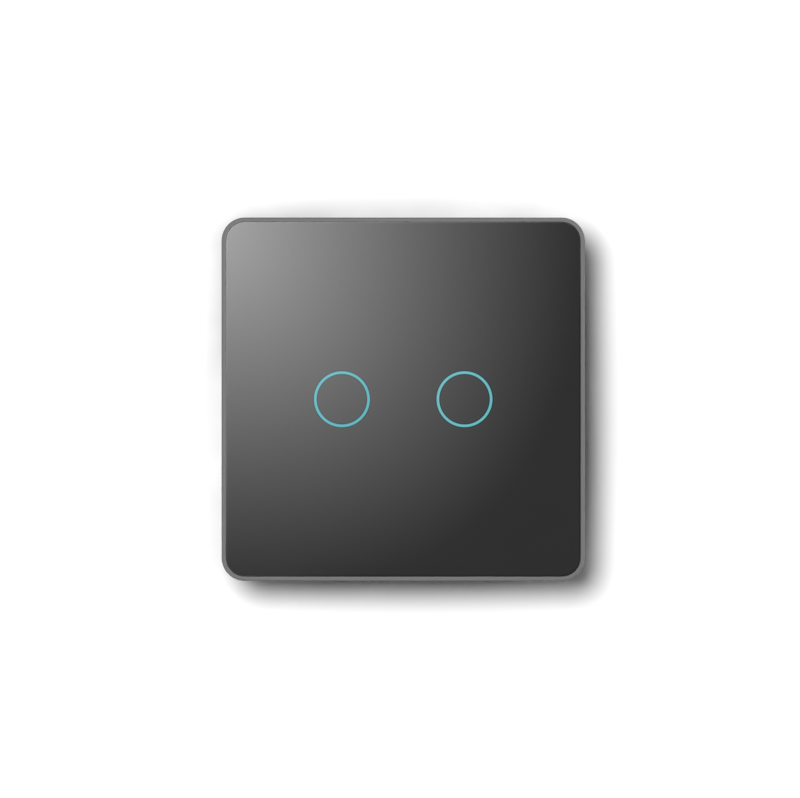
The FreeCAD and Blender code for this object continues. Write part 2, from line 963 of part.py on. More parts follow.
def transformer_core():
    # Two E halves: a closed frame round the winding, with a middle leg through it.
    base = core_base()
    top = base + core_width
    outer = centred(core_length, core_height, base, top, transformer_x, transformer_z)
    width = (core_length - 3 * core_leg) / 2
    height = core_height - 2 * core_leg
    windows = []
    for side in (-1, 1):
        x = transformer_x + side * (core_leg + width) / 2
        windows.append(centred(width, height, base - 1, top + 1, x, transformer_z))
    return cut(outer, windows)


def transformer_winding():
    # The wound bobbin stands on its flange, with the core's middle leg through it.
    base = core_base()
    place = (transformer_x, transformer_z)
    coil_width = core_length - 2 * (core_leg + core_clearance)
    coil_height = core_height - 2 * (core_leg + core_clearance)
    low = base - winding_proud
    high = base + core_width + winding_proud
    coil = centred(coil_width, coil_height, low, high, *place)
    upright = [e for e in coil.Edges if e.BoundBox.YLength > 1]
    coil = coil.makeChamfer(winding_proud, upright)
    flange = centred(bobbin_length, bobbin_height, y_power_back, low + 0.1, *place)
    leg_width = core_leg + 2 * core_clearance
    leg_low = base - core_clearance
    leg_high = base + core_width + core_clearance
    leg = centred(leg_width, core_height, leg_low, leg_high, *place)
    return join([cut(coil, [leg]), flange])


def can_capacitor(x, z, radius, height):
    return post(radius, y_power_back, y_power_back + height, x, z)


def filter_capacitor():
    top = y_power_back + filter_height
    size = (filter_length, filter_width)
    return bevelled_case(*size, y_power_back, top, filter_x, filter_z, filter_bevel)


def line_choke():
    top = y_power_back + choke_height
    size = (choke_side, choke_side)
    return bevelled_case(*size, y_power_back, top, choke_x, choke_z, choke_bevel)


def varistor():
    # A coated disc that stands on edge; its coating runs down to the board in one foot.
    centre_y = y_power_back + varistor_radius + varistor_stand
    disc = Part.makeCylinder(
        varistor_radius,
        varistor_thickness,
        vec(varistor_x, centre_y, varistor_z - varistor_thickness / 2),
        vec(0, 0, 1),
    )
    foot = centred(
        varistor_foot, varistor_thickness, y_power_back, centre_y, varistor_x, varistor_z
    )
    return join([disc, foot])


def bridge_rectifier():
    half = rectifier_leg_spacing / 2
    size = (rectifier_length, rectifier_width, rectifier_height)
    place = (y_power_back, rectifier_x, rectifier_z)
    return legged_package(*size, *place, rectifier_leg_width, [-half, half])


def board_socket():
    span = pin_count * pin_pitch
    body = centred(span, header_depth, socket_mouth_y, y_power_front, 0, connector_z)
    hole = pin_side + 2 * socket_clearance
    depth = socket_mouth_y + pin_engagement + 0.5
    holes = [
        centred(hole, hole, socket_mouth_y - 1, depth, x, connector_z) for x in pin_places()
    ]
    return cut(body, holes)


def box_screws():
    return Part.makeCompound([cross_screw(x, z) for x, z in box_screw_places()])


# Terminal block


def terminal_housing():
    rear = y_power_back + terminal_height
    high_z = terminal_low_z + terminal_depth
    half = terminal_width / 2
    body = block(-half, half, y_power_back, rear, terminal_low_z, high_z)
    entry_y = y_power_back + wire_level
    shaft_y = y_power_back + cavity_top
    tools = []
    for x in pole_places:
        tools.append(
            block(
                x - cavity_width / 2,
                x + cavity_width / 2,
                y_power_back - 1,
                shaft_y,
                terminal_low_z + entry_wall,
                terminal_low_z + entry_wall + cavity_depth,
            )
        )
        tools.append(post(screw_radius + 2 * screw_running, shaft_y - 1, rear + 1, x, screw_z))
        tools.append(
            post(screw_head_radius + 5 * screw_running, y_power_back + head_seat, rear + 1, x, screw_z)
        )
        tools.append(
            Part.makeCylinder(
                entry_radius, entry_wall + 1, vec(x, entry_y, terminal_low_z - 0.5), vec(0, 0, 1)
            )
        )
    for left, right in zip(pole_places, pole_places[1:]):
        x = (left + right) / 2
        tools.append(
            block(
                x - pole_groove / 2,
                x + pole_groove / 2,
                rear - pole_groove,
                rear + 1,
                terminal_low_z - 1,
                high_z + 1,
            )
        )
        tools.append(
            block(
                x - pole_groove / 2,
                x + pole_groove / 2,
                y_power_back - 1,
                rear + 1,
                terminal_low_z - 1,
                terminal_low_z + pole_groove,
            )
        )
    return cut(body, tools)


def terminal_contacts():
    # Each fixed contact lies through its clamp and turns down to its soldered tail.
    z0 = terminal_low_z + entry_wall + clamp_clearance
    leg_z = tail_z()
    half = contact_width / 2
    pieces = []
    for x in pole_places:
        tongue = block(
            x - half,
            x + half,
            y_power_back + contact_near,
            y_power_back + contact_far,
            z0,
            leg_z + contact_thickness / 2,
        )
        leg = block(
            x - half,
            x + half,
            y_power_back,
            y_power_back + contact_far,
            leg_z - contact_thickness / 2,
            leg_z + contact_thickness / 2,
        )
        tail = centred(
            contact_tail,
            contact_thickness,
            y_power_front - contact_tail_reach,
            y_power_back + 0.1,
            x,
            leg_z,
        )
        pieces.append(join([tongue, leg, tail]))
    return Part.makeCompound(pieces)


def terminal_clamp(x):
    # A closed cage whose far side is threaded: turning the screw draws it off the board.
    outer_half = cavity_width / 2 - clamp_clearance
    inner_half = outer_half - clamp_wall
    z0 = terminal_low_z + entry_wall + clamp_clearance
    near = y_power_back + clamp_rest
    far = y_power_back + clamp_top
    cage = block(x - outer_half, x + outer_half, near, far, z0, z0 + clamp_depth)
    long_edges = [e for e in cage.Edges if e.BoundBox.ZLength > clamp_depth - 0.1]
    cage = cage.makeChamfer(clamp_bevel, long_edges)
    window = block(
        x - inner_half,
        x + inner_half,
        near + clamp_plate,
        y_power_back + clamp_top_inner,
        z0 - 1,
        z0 + clamp_depth + 1,
    )
    thread = post(screw_radius + screw_running, y_power_back + contact_far, far + 1, x, screw_z)
    return cut(cage, [window, thread])


def terminal_screw(x):
    seat = y_power_back + head_seat + screw_running
    top = seat + screw_head_height
    tip = y_power_back + contact_far + clamp_clearance
    head = post(screw_head_radius, seat, top, x, screw_z)
    body = join([head, post(screw_radius, tip, seat + 0.1, x, screw_z)])
    low = top - screw_slot_depth
    groove = centred(2 * screw_head_radius + 1, screw_slot_width, low, top + 1, x, screw_z)
    cross = centred(screw_slot_width, recess_reach * screw_head_radius, low, top + 1, x, screw_z)
    return cut(body, [groove, cross])


def build():
    nodes = {
        "metal_frame": metal_frame(),
        "glass_panel": glass_panel(),
        "printed_film": printed_film(),
        "adhesive_tape": adhesive_tape(),
        "front_carrier": front_carrier(),
        "touch_board": touch_board(),
        "radio_module": radio_module(),
        "touch_chip": touch_chip(),
        "board_header": board_header(),
        "retaining_clips": retaining_clips(),
        "mounting_plate": mounting_plate(),
        "back_box": back_box(),
        "inner_cover": inner_cover(),
        "power_board": power_board(),
        "transformer_core": transformer_core(),
        "transformer_winding": transformer_winding(),
        "bulk_capacitor": can_capacitor(bulk_x, bulk_z, bulk_radius, bulk_height),
        "output_capacitor": can_capacitor(output_x, output_z, output_radius, output_height),
        "filter_capacitor": filter_capacitor(),
        "line_choke": line_choke(),
        "varistor": varistor(),
        "bridge_rectifier": bridge_rectifier(),
        "board_socket": board_socket(),
        "box_screws": box_screws(),
        "terminal_housing": terminal_housing(),
        "terminal_contacts": terminal_contacts(),
    }
    for side, x in zip(("left", "right"), key_places):
        nodes["light_ring_" + side] = light_ring(x)
        nodes["pad_sleeve_" + side] = pad_sleeve(x)
        nodes["sensor_pad_" + side] = sensor_pad(x)
        nodes["lamps_" + side] = lamps(x)
    for number, x in enumerate(pole_places, 1):
        nodes["terminal_clamp_%d" % number] = terminal_clamp(x)
        nodes["terminal_screw_%d" % number] = terminal_screw(x)
    return nodes


def main():
    os.makedirs("parts", exist_ok=True)
    for name, shape in build().items():
        if not shape.isValid():
            print("invalid:", name)
        shape.exportStep(os.path.join("parts", name + ".step"))


main()
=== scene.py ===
import bmesh
import bpy
import math
from mathutils import Matrix, Vector


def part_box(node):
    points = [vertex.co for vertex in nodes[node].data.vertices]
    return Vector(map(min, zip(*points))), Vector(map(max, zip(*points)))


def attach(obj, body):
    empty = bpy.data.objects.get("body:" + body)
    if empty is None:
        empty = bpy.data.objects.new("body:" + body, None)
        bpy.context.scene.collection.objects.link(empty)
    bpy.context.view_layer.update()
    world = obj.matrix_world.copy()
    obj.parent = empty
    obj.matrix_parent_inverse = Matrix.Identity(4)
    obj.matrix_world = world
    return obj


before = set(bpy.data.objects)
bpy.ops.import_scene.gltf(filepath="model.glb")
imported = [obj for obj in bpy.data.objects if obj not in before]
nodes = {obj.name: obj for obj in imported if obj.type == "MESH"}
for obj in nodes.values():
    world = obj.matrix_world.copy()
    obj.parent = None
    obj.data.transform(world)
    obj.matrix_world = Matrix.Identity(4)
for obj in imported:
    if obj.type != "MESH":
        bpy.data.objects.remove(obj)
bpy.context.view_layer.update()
scene = bpy.context.scene
mm = 0.001
print("frame loaded:", len(nodes), "nodes")


def linear(red, green, blue):  # from 0-255 screen values to the shader's own
    out = []
    for value in (red, green, blue):
        value /= 255
        out.append(value / 12.92 if value <= 0.04045 else ((value + 0.055) / 1.055) ** 2.4)
    return (*out, 1.0)


def shaded(colour, factor):
    return (*(min(1.0, c * factor) for c in colour[:3]), 1.0)


# Node helpers: a value that is a socket is linked, anything else is set

def put(tree, kind, inputs=None, **settings):
    node = tree.nodes.new(kind)
    for key, value in settings.items():
        setattr(node, key, value)
    for key, value in (inputs or {}).items():
        if isinstance(value, bpy.types.NodeSocket):
            tree.links.new(value, node.inputs[key])
        else:
            node.inputs[key].default_value = value
    return node


def calc(tree, how, first, second=0.0, third=0.0):
    values = {0: first, 1: second}
    if how == "MULTIPLY_ADD":
        values[2] = third
    return put(tree, "ShaderNodeMath", values, operation=how).outputs[0]


def remap(tree, value, fromLow, fromHigh, toLow=0.0, toHigh=1.0):
    values = {0: value, 1: fromLow, 2: fromHigh, 3: toLow, 4: toHigh}
    return put(tree, "ShaderNodeMapRange", values).outputs[0]


def mixed(tree, factor, first, second):
    node = put(tree, "ShaderNodeMix", data_type="RGBA")
    for index, value in ((0, factor), (6, first), (7, second)):
        if isinstance(value, bpy.types.NodeSocket):
            tree.links.new(value, node.inputs[index])
        else:
            node.inputs[index].default_value = value
    return node.outputs[2]


def clouds(tree, place, size, detail=2.0, rough=0.5):  # size of one cloud in millimetres
    values = {"Vector": place, "Scale": 1 / (size * mm), "Detail": detail, "Roughness": rough}
    return put(tree, "ShaderNodeTexNoise", values).outputs[0]


def cells(tree, place, size, distance="EUCLIDEAN", spread=1.0):
    values = {"Vector": place, "Scale": 1 / (size * mm), "Randomness": spread}
    return put(tree, "ShaderNodeTexVoronoi", values, distance=distance)


def stretched(tree, place, x, y, z):
    return put(tree, "ShaderNodeMapping", {"Vector": place, "Scale": (x, y, z)}).outputs[0]


def axes(tree, place):
    return put(tree, "ShaderNodeSeparateXYZ", {0: place}).outputs


def softEdge(tree, value, edge, width):  # 1 below the edge, 0 above it
    return remap(tree, value, edge - width / 2, edge + width / 2, 1.0, 0.0)


def between(tree, value, low, high, soft):
    above = remap(tree, value, low - soft / 2, low + soft / 2)
    return calc(tree, "MULTIPLY", above, softEdge(tree, value, high, soft))


def fromAxis(tree, dx, dz):  # distance from an axis along Y
    return calc(tree, "SQRT", calc(tree, "MULTIPLY_ADD", dx, dx, calc(tree, "MULTIPLY", dz, dz)))


def roundedSquare(tree, x, z, half, corner):  # signed distance to the outline, below 0 inside
    qx = calc(tree, "SUBTRACT", calc(tree, "ABSOLUTE", x), half - corner)
    qz = calc(tree, "SUBTRACT", calc(tree, "ABSOLUTE", z), half - corner)
    far = fromAxis(tree, calc(tree, "MAXIMUM", qx, 0.0), calc(tree, "MAXIMUM", qz, 0.0))
    near = calc(tree, "MINIMUM", calc(tree, "MAXIMUM", qx, qz), 0.0)
    return calc(tree, "SUBTRACT", calc(tree, "ADD", far, near), corner)


def acrossFace(tree, x, z, half):  # 0 towards the upper left of the face, 1 towards the lower right
    return remap(tree, calc(tree, "SUBTRACT", x, z), -0.5 * half * mm, 0.5 * half * mm)


def startMaterial(name):
    material = bpy.data.materials.new(name)
    material.use_nodes = True
    tree = material.node_tree
    tree.nodes.clear()
    shader = put(tree, "ShaderNodeBsdfPrincipled")
    put(tree, "ShaderNodeOutputMaterial", {"Surface": shader.outputs[0]})
    return material, tree, shader, put(tree, "ShaderNodeTexCoord").outputs["Object"]


def outputOf(tree):
    return next(n for n in tree.nodes if n.bl_idname == "ShaderNodeOutputMaterial").inputs["Surface"]


def keepUnsampled(material):  # its glow is only seen or mirrored, and lights nothing else
    material.cycles.emission_sampling = "NONE"


def feed(tree, shader, **values):
    names = {
        "colour": "Base Color", "rough": "Roughness", "metal": "Metallic", "normal": "Normal",
        "ior": "IOR", "specular": "Specular IOR Level", "glow": "Emission Color",
        "glowStrength": "Emission Strength",
    }
    for key, value in values.items():
        socket = shader.inputs[names[key]]
        if isinstance(value, bpy.types.NodeSocket):
            tree.links.new(value, socket)
        else:
            socket.default_value = value


def relief(tree, height, depth, strength=1.0, rounding=0.12):  # depth in millimetres
    edge = put(tree, "ShaderNodeBevel", {"Radius": rounding * mm}, samples=4).outputs[0]
    values = {"Height": height, "Distance": depth * mm, "Strength": strength, "Normal": edge}
    return put(tree, "ShaderNodeBump", values).outputs[0]


def edgeWear(tree, radius):  # 0 on a flat, rising to 1 where an edge turns away
    bent = put(tree, "ShaderNodeBevel", {"Radius": radius * mm}, samples=4).outputs[0]
    flat = put(tree, "ShaderNodeNewGeometry").outputs["Normal"]
    same = put(tree, "ShaderNodeVectorMath", {0: bent, 1: flat}, operation="DOT_PRODUCT")
    return remap(tree, same.outputs["Value"], 0.995, 0.85)


# Plain finishes. Sizes are in millimetres, and wear is how far edges go towards the worn colour

finishes = {
    "black moulding": dict(
        colour=linear(34, 34, 36), worn=linear(70, 70, 72), rough=0.52, spread=0.14,
        grain=0.16, depth=0.010, cloud=9.0, shade=0.82, wear=0.35,
    ),
    "box moulding": dict(
        colour=linear(205, 206, 203), worn=linear(225, 225, 222), rough=0.48, spread=0.12,
        grain=0.20, depth=0.012, cloud=11.0, shade=0.95, wear=0.4,
    ),
    "inner cover": dict(
        colour=linear(196, 198, 196), worn=linear(222, 222, 220), rough=0.5, spread=0.1,
        grain=0.22, depth=0.008, cloud=8.0, shade=0.94, wear=0.35,
    ),
    "terminal moulding": dict(
        colour=linear(38, 104, 74), worn=linear(90, 150, 122), rough=0.38, spread=0.1,
        grain=0.14, depth=0.006, cloud=5.0, shade=0.88, wear=0.3,
    ),
    "chip package": dict(
        colour=linear(30, 30, 31), worn=linear(60, 60, 60), rough=0.6, spread=0.12,
        grain=0.08, depth=0.006, cloud=3.0, shade=0.85, wear=0.25,
    ),
    "connector moulding": dict(
        colour=linear(28, 28, 29), worn=linear(64, 64, 64), rough=0.42, spread=0.1,
        grain=0.1, depth=0.004, cloud=4.0, shade=0.85, wear=0.3,
    ),
    "ferrite": dict(
        colour=linear(58, 58, 60), worn=linear(92, 92, 94), rough=0.66, spread=0.16,
        grain=0.12, depth=0.014, cloud=3.5, shade=0.8, wear=0.5,
    ),
    "choke case": dict(
        colour=linear(66, 66, 69), worn=linear(104, 104, 106), rough=0.58, spread=0.16,
        grain=0.1, depth=0.010, cloud=3.0, shade=0.82, wear=0.5,
    ),
    "film capacitor case": dict(
        colour=linear(206, 178, 60), worn=linear(226, 206, 120), rough=0.36, spread=0.08,
        grain=0.2, depth=0.004, cloud=5.0, shade=0.92, wear=0.2,
    ),
    "varistor coat": dict(
        colour=linear(38, 74, 142), worn=linear(74, 110, 170), rough=0.34, spread=0.1,
        grain=0.5, depth=0.03, cloud=2.0, shade=0.86, wear=0.1,
    ),
    "adhesive tape": dict(
        colour=linear(40, 40, 41), worn=linear(60, 60, 60), rough=0.82, spread=0.1,
        grain=0.12, depth=0.012, cloud=6.0, shade=0.85, wear=0.0,
    ),
    "black print": dict(
        colour=linear(22, 22, 23), worn=linear(40, 40, 40), rough=0.5, spread=0.12,
        grain=0.1, depth=0.002, cloud=5.0, shade=0.85, wear=0.0,
    ),
    "sensor foam": dict(
        colour=linear(74, 74, 76), worn=linear(96, 96, 98), rough=0.9, spread=0.08,
        grain=0.28, depth=0.06, cloud=1.6, shade=0.7, wear=0.2,
    ),
}


def plainFinish(name):
    look = finishes[name]
    material, tree, shader, place = startMaterial(name)
    cloud = remap(tree, clouds(tree, place, look["cloud"], 4.0), 0.35, 0.68)
    grain = clouds(tree, place, look["grain"], 3.0, 0.6)
    colour = mixed(tree, cloud, look["colour"], shaded(look["colour"], look["shade"]))
    speck = remap(tree, grain, 0.62, 0.8, 0.0, 0.35)
    colour = mixed(tree, speck, colour, shaded(look["colour"], 0.6))
    worn = calc(tree, "MULTIPLY", edgeWear(tree, 0.25), look["wear"])
    colour = mixed(tree, worn, colour, look["worn"])
    half = look["spread"] / 2
    rough = remap(tree, cloud, 0.0, 1.0, look["rough"] - half, look["rough"] + half)
    feed(tree, shader, colour=colour, rough=rough, normal=relief(tree, grain, look["depth"]))
    return material


# Metals: a drawn or rolled direction, small scratches and a slightly uneven plating

metals = {
    "zinc plate": dict(colour=linear(176, 179, 182), rough=0.32, spread=0.18, along=(1, 1, 26),
                       line=0.5, depth=0.004, bloom=5.0, bloomShade=0.78),
    "spring strip": dict(colour=linear(190, 190, 188), rough=0.24, spread=0.12, along=(1, 14, 14),
                         line=0.3, depth=0.003, bloom=2.0, bloomShade=0.92),
    "screw steel": dict(colour=linear(196, 195, 190), rough=0.2, spread=0.1, along=(1, 4, 1),
                        line=0.12, depth=0.0012, bloom=1.4, bloomShade=0.9),
    "clamp steel": dict(colour=linear(180, 182, 182), rough=0.34, spread=0.18, along=(1, 10, 1),
                        line=0.25, depth=0.004, bloom=1.6, bloomShade=0.86),
    "contact brass": dict(colour=linear(202, 172, 104), rough=0.28, spread=0.14, along=(1, 1, 12),
                          line=0.25, depth=0.003, bloom=1.5, bloomShade=0.84),
    "shield can": dict(colour=linear(196, 196, 192), rough=0.3, spread=0.16, along=(12, 1, 1),
                       line=0.3, depth=0.003, bloom=2.4, bloomShade=0.9),
    "solder": dict(colour=linear(190, 190, 186), rough=0.3, spread=0.2, along=(1, 1, 1),
                   line=0.3, depth=0.01, bloom=0.6, bloomShade=0.86),
}

# Screw threads. Each screw's axis and length follow its node's box in the frame

threads = {
    "terminal screw": dict(pitch=0.5, shankRadius=1.5, headRadius=2.2, headHeight=1.4,
                           nodes=["terminal_screw_1", "terminal_screw_2"]),
    "box screw": dict(pitch=0.9, shankRadius=1.3, headRadius=2.4, headHeight=1.7, nodes=["box_screws"]),
}


def screwShanks(thread):  # a node holds one screw, or two in its box's upper left and lower right corners
    shanks = []
    head = thread["headRadius"]
    for node in thread["nodes"]:
        low, high = (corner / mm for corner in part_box(node))
        places = [(low.x + head, high.z - head), (high.x - head, low.z + head)]
        if high.x - low.x < 3 * head:
            places = places[:1]
        shanks += [(x, z, low.y, high.y - thread["headHeight"]) for x, z in places]
    return shanks


def metalFinish(name, thread=None):
    look = metals[name]
    material, tree, shader, place = startMaterial(name)
    lines = clouds(tree, stretched(tree, place, *look["along"]), look["line"] * 4, 4.0, 0.7)
    bloom = remap(tree, clouds(tree, place, look["bloom"], 4.0, 0.6), 0.36, 0.66)
    colour = mixed(tree, bloom, look["colour"], shaded(look["colour"], look["bloomShade"]))
    colour = mixed(tree, remap(tree, lines, 0.55, 0.75, 0.0, 0.3), colour, shaded(look["colour"], 0.72))
    worn = calc(tree, "MULTIPLY", edgeWear(tree, 0.2), 0.5)
    colour = mixed(tree, worn, colour, shaded(look["colour"], 1.18))
    half = look["spread"] / 2
    rough = remap(tree, lines, 0.3, 0.7, look["rough"] - half, look["rough"] + half)
    height = lines
    if thread:  # a helix round each screw's own axis, on the shank only
        x, y, z = axes(tree, place)
        for screwX, screwZ, low, high in screwShanks(thread):
            dx = calc(tree, "SUBTRACT", x, screwX * mm)
            dz = calc(tree, "SUBTRACT", z, screwZ * mm)
            turn = calc(tree, "ARCTAN2", dz, dx)
            rise = calc(tree, "MULTIPLY", y, math.tau / (thread["pitch"] * mm))
            wave = calc(tree, "SINE", calc(tree, "ADD", rise, turn))
            near = softEdge(tree, fromAxis(tree, dx, dz), (thread["shankRadius"] + 0.2) * mm, 0.1 * mm)
            onShank = calc(tree, "MULTIPLY", near, between(tree, y, low * mm, high * mm, 0.1 * mm))
            height = calc(tree, "MULTIPLY_ADD", calc(tree, "MULTIPLY", wave, onShank), 12.0, height)
    feed(tree, shader, colour=colour, rough=rough, metal=1.0, normal=relief(tree, height, look["depth"]))
    return material


# Front glass: near-black, with the two lit rings under it

glassLook = dict(
    colour=linear(50, 50, 50),
    rings=[(-14.5, linear(60, 171, 181)), (14.5, linear(97, 182, 190))],  # the left one has more shine on it
    ringRadius=6.6,
    ringLine=0.61,
    ringEdge=0.25,  # the dark edge that the print's slot shows on both sides of the line
    ringSoft=0.16,
    halo=0.05,
    haloReach=1.3,
    ringDepth=-9.0,  # the rings are drawn in front of this level
    half=41.9,
    corner=4.4,
    chamferDepth=-10.7,
    chamferBand=(-0.26, -0.1),  # inward from the outline
    chamferPaintedLight=[linear(98, 98, 98), linear(40, 40, 40)],  # painted highlight on the chamfer at the upper left, painted shade at the lower right
    rough=0.03,
    roughSpread=0.03,
)


def frontGlass():
    look = glassLook
    material, tree, shader, place = startMaterial("smoked glass")
    x, y, z = axes(tree, place)
    onFront = softEdge(tree, y, look["ringDepth"] * mm, 0.2 * mm)
    middle = (look["ringRadius"] - look["ringLine"] / 2) * mm
    slots = []
    tint = (0, 0, 0, 1)
    for ringX, ringColour in look["rings"]:
        reach = fromAxis(tree, calc(tree, "SUBTRACT", x, ringX * mm), z)
        off = calc(tree, "ABSOLUTE", calc(tree, "SUBTRACT", reach, middle))
        line = softEdge(tree, off, look["ringLine"] * mm / 2, look["ringSoft"] * mm)
        fade = remap(tree, off, 0.0, look["haloReach"] * mm, 1.0, 0.0)
        halo = calc(tree, "MULTIPLY", calc(tree, "POWER", fade, 3.0), look["halo"])
        glow = calc(tree, "MULTIPLY", calc(tree, "MAXIMUM", line, halo), onFront)
        tint = mixed(tree, glow, tint, ringColour)
        slotHalf = look["ringLine"] / 2 + look["ringEdge"]
        slots.append(softEdge(tree, off, slotHalf * mm, look["ringSoft"] * mm))
    slot = calc(tree, "MULTIPLY", calc(tree, "MAXIMUM", *slots), onFront)
    deep = clouds(tree, place, 26.0, 2.0)
    dark = mixed(tree, remap(tree, deep, 0.35, 0.65), look["colour"], shaded(look["colour"], 0.96))
    # painted light on the chamfer: a highlight towards the upper left and painted shade towards the lower
    # right
    near = softEdge(tree, y, look["chamferDepth"] * mm, 0.02 * mm)
    inward = roundedSquare(tree, x, z, look["half"] * mm, look["corner"] * mm)
    onEdge = calc(tree, "MULTIPLY", near, remap(tree, inward, *(edge * mm for edge in look["chamferBand"])))
    across = acrossFace(tree, x, z, look["half"])
    dark = mixed(tree, onEdge, dark, mixed(tree, across, *look["chamferPaintedLight"]))
    colour = mixed(tree, slot, dark, (0, 0, 0, 1))
    film = clouds(tree, stretched(tree, place, 1.0, 1.0, 0.6), 14.0, 5.0, 0.6)
    rough = remap(tree, film, 0.4, 0.75, look["rough"], look["rough"] + look["roughSpread"])
    ahead = put(tree, "ShaderNodeCombineXYZ", {1: -1.0}).outputs[0]
    built = put(tree, "ShaderNodeNewGeometry").outputs["Normal"]
    # the chamfer faces ahead, so that it mirrors what the glass beside it does
    eased = put(tree, "ShaderNodeMix", {0: near}, data_type="VECTOR")
    tree.links.new(built, eased.inputs[4])
    tree.links.new(ahead, eased.inputs[5])
    facing = put(tree, "ShaderNodeVectorMath", {0: eased.outputs[1]}, operation="NORMALIZE").outputs[0]
    feed(tree, shader, colour=colour, rough=rough, glow=tint, glowStrength=1.0, ior=1.5, normal=facing)
    keepUnsampled(material)
    return material


# Metal frame: satin grey, with painted shade at the upper left and painted light at the lower right of its
# outer edge, and a painted highlight along its inner edge at the glass

frameLook = dict(
    colour=linear(118, 118, 119), half=43.0, corner=5.5, rim=1.0, faceDepth=-10.7,
    outerBand=(-0.35, -0.2), outerPaintedLight=(0.62, 1.25),  # painted shade at the upper left and painted light at the lower right
    lipBand=(0.02, 0.16), lipPaintedHighlight=(2.4, 1.3),  # painted highlight: the band runs out from the inner edge
    rough=0.5, roughSpread=0.04, specular=0.3,
    blast=0.09, blastDepth=0.0015, blastShade=0.8, blastShare=0.09, wear=0.25, wornShade=1.3,
)


def satinFrame():
    look = frameLook
    material, tree, shader, place = startMaterial("satin frame")
    x, y, z = axes(tree, place)
    inward = roundedSquare(tree, x, z, look["half"] * mm, look["corner"] * mm)
    onFace = softEdge(tree, y, look["faceDepth"] * mm, 0.06 * mm)
    turned = remap(tree, inward, *(edge * mm for edge in look["outerBand"]))
    turned = calc(tree, "MULTIPLY", turned, onFace)
    across = acrossFace(tree, x, z, look["half"])
    # painted light: the outer edge is shaded at the upper left and lit at the lower right, and the inner
    # edge gets a highlight, strongest at the upper left
    outerPaintedColour, lipHighlightColour = (
        mixed(tree, across, *(shaded(look["colour"], shade) for shade in look[which]))
        for which in ("outerPaintedLight", "lipPaintedHighlight")
    )
    outer = mixed(tree, turned, look["colour"], outerPaintedColour)
    lipStart, lipEnd = ((edge - look["rim"]) * mm for edge in look["lipBand"])
    lip = remap(tree, inward, lipStart, lipEnd, 1.0, 0.0)
    lip = calc(tree, "MULTIPLY", lip, onFace)
    colour = mixed(tree, lip, outer, lipHighlightColour)
    blast = clouds(tree, place, look["blast"], 3.0, 0.7)
    drift = clouds(tree, place, 17.0, 3.0)
    pits = remap(tree, blast, 0.4, 0.75, 0.0, look["blastShare"])
    colour = mixed(tree, pits, colour, shaded(look["colour"], look["blastShade"]))
    worn = calc(tree, "MULTIPLY", edgeWear(tree, 0.12), look["wear"])
    colour = mixed(tree, worn, colour, shaded(look["colour"], look["wornShade"]))
    low, high = (look["rough"] + side * look["roughSpread"] for side in (-1, 1))
    feed(tree, shader, colour=colour, rough=remap(tree, drift, 0.3, 0.7, low, high),
         specular=look["specular"], normal=relief(tree, blast, look["blastDepth"], 1.0, 0.08))
    return material


# Circuit boards: solder mask over copper runs, which turn between two directions from cell to cell

boards = {
    "touch board laminate": dict(mask=linear(24, 44, 78), copper=linear(40, 66, 104), pitch=0.9,
                                 cell=7.0, via=2.1, edge=linear(150, 140, 96), pad=linear(186, 180, 150)),
    "power board laminate": dict(mask=linear(30, 96, 52), copper=linear(54, 122, 74), pitch=2.4,
                                 cell=11.0, via=4.0, edge=linear(160, 148, 98), pad=linear(186, 180, 150)),
}


def boardFinish(name):
    look = boards[name]
    material, tree, shader, place = startMaterial(name)
    x, _, z = axes(tree, place)
    flatPlace = put(tree, "ShaderNodeCombineXYZ", {0: x, 1: z}).outputs[0]
    patch = cells(tree, flatPlace, look["cell"], distance="CHEBYCHEV")
    which = axes(tree, patch.outputs["Color"])[0]
    across = calc(tree, "GREATER_THAN", which, 0.5)
    way = calc(tree, "ADD", calc(tree, "MULTIPLY", x, across),
               calc(tree, "MULTIPLY", z, calc(tree, "SUBTRACT", 1.0, across)))
    wave = calc(tree, "PINGPONG", way, look["pitch"] * mm / 2)
    run = remap(tree, wave, 0.16 * look["pitch"] * mm, 0.22 * look["pitch"] * mm, 1.0, 0.0)
    ring = cells(tree, flatPlace, look["via"], spread=0.75).outputs["Distance"]
    pad = softEdge(tree, ring, 0.16, 0.04)
    hole = softEdge(tree, ring, 0.07, 0.03)
    mottled = remap(tree, clouds(tree, place, 5.0, 3.0), 0.35, 0.65)
    mask = mixed(tree, mottled, look["mask"], shaded(look["mask"], 0.86))
    colour = mixed(tree, run, mask, look["copper"])
    colour = mixed(tree, pad, colour, look["pad"])
    # painted shade: the middle of each pad is darkened where the via's hole is
    colour = mixed(tree, hole, colour, shaded(look["mask"], 0.3))
    upright = axes(tree, put(tree, "ShaderNodeNewGeometry").outputs["Normal"])[1]
    side = softEdge(tree, calc(tree, "ABSOLUTE", upright), 0.5, 0.1)
    colour = mixed(tree, side, colour, look["edge"])
    rough = calc(tree, "MULTIPLY_ADD", pad, -0.1, remap(tree, mottled, 0.0, 1.0, 0.34, 0.44))
    feed(tree, shader, colour=colour, rough=rough, metal=calc(tree, "MULTIPLY", pad, 0.8),
         normal=relief(tree, calc(tree, "ADD", run, pad), 0.02, 0.7))
    return material


# Sleeved capacitors: a dark sleeve with a pale stripe down one side and a scored bare top

capLook = dict(sleeve=linear(30, 32, 40), stripe=linear(176, 178, 182), top=linear(196, 197, 198),
               topShare=0.86, stripeTurn=0.9, stripeHalf=0.32, groove=0.14)  # turn and half width in radians


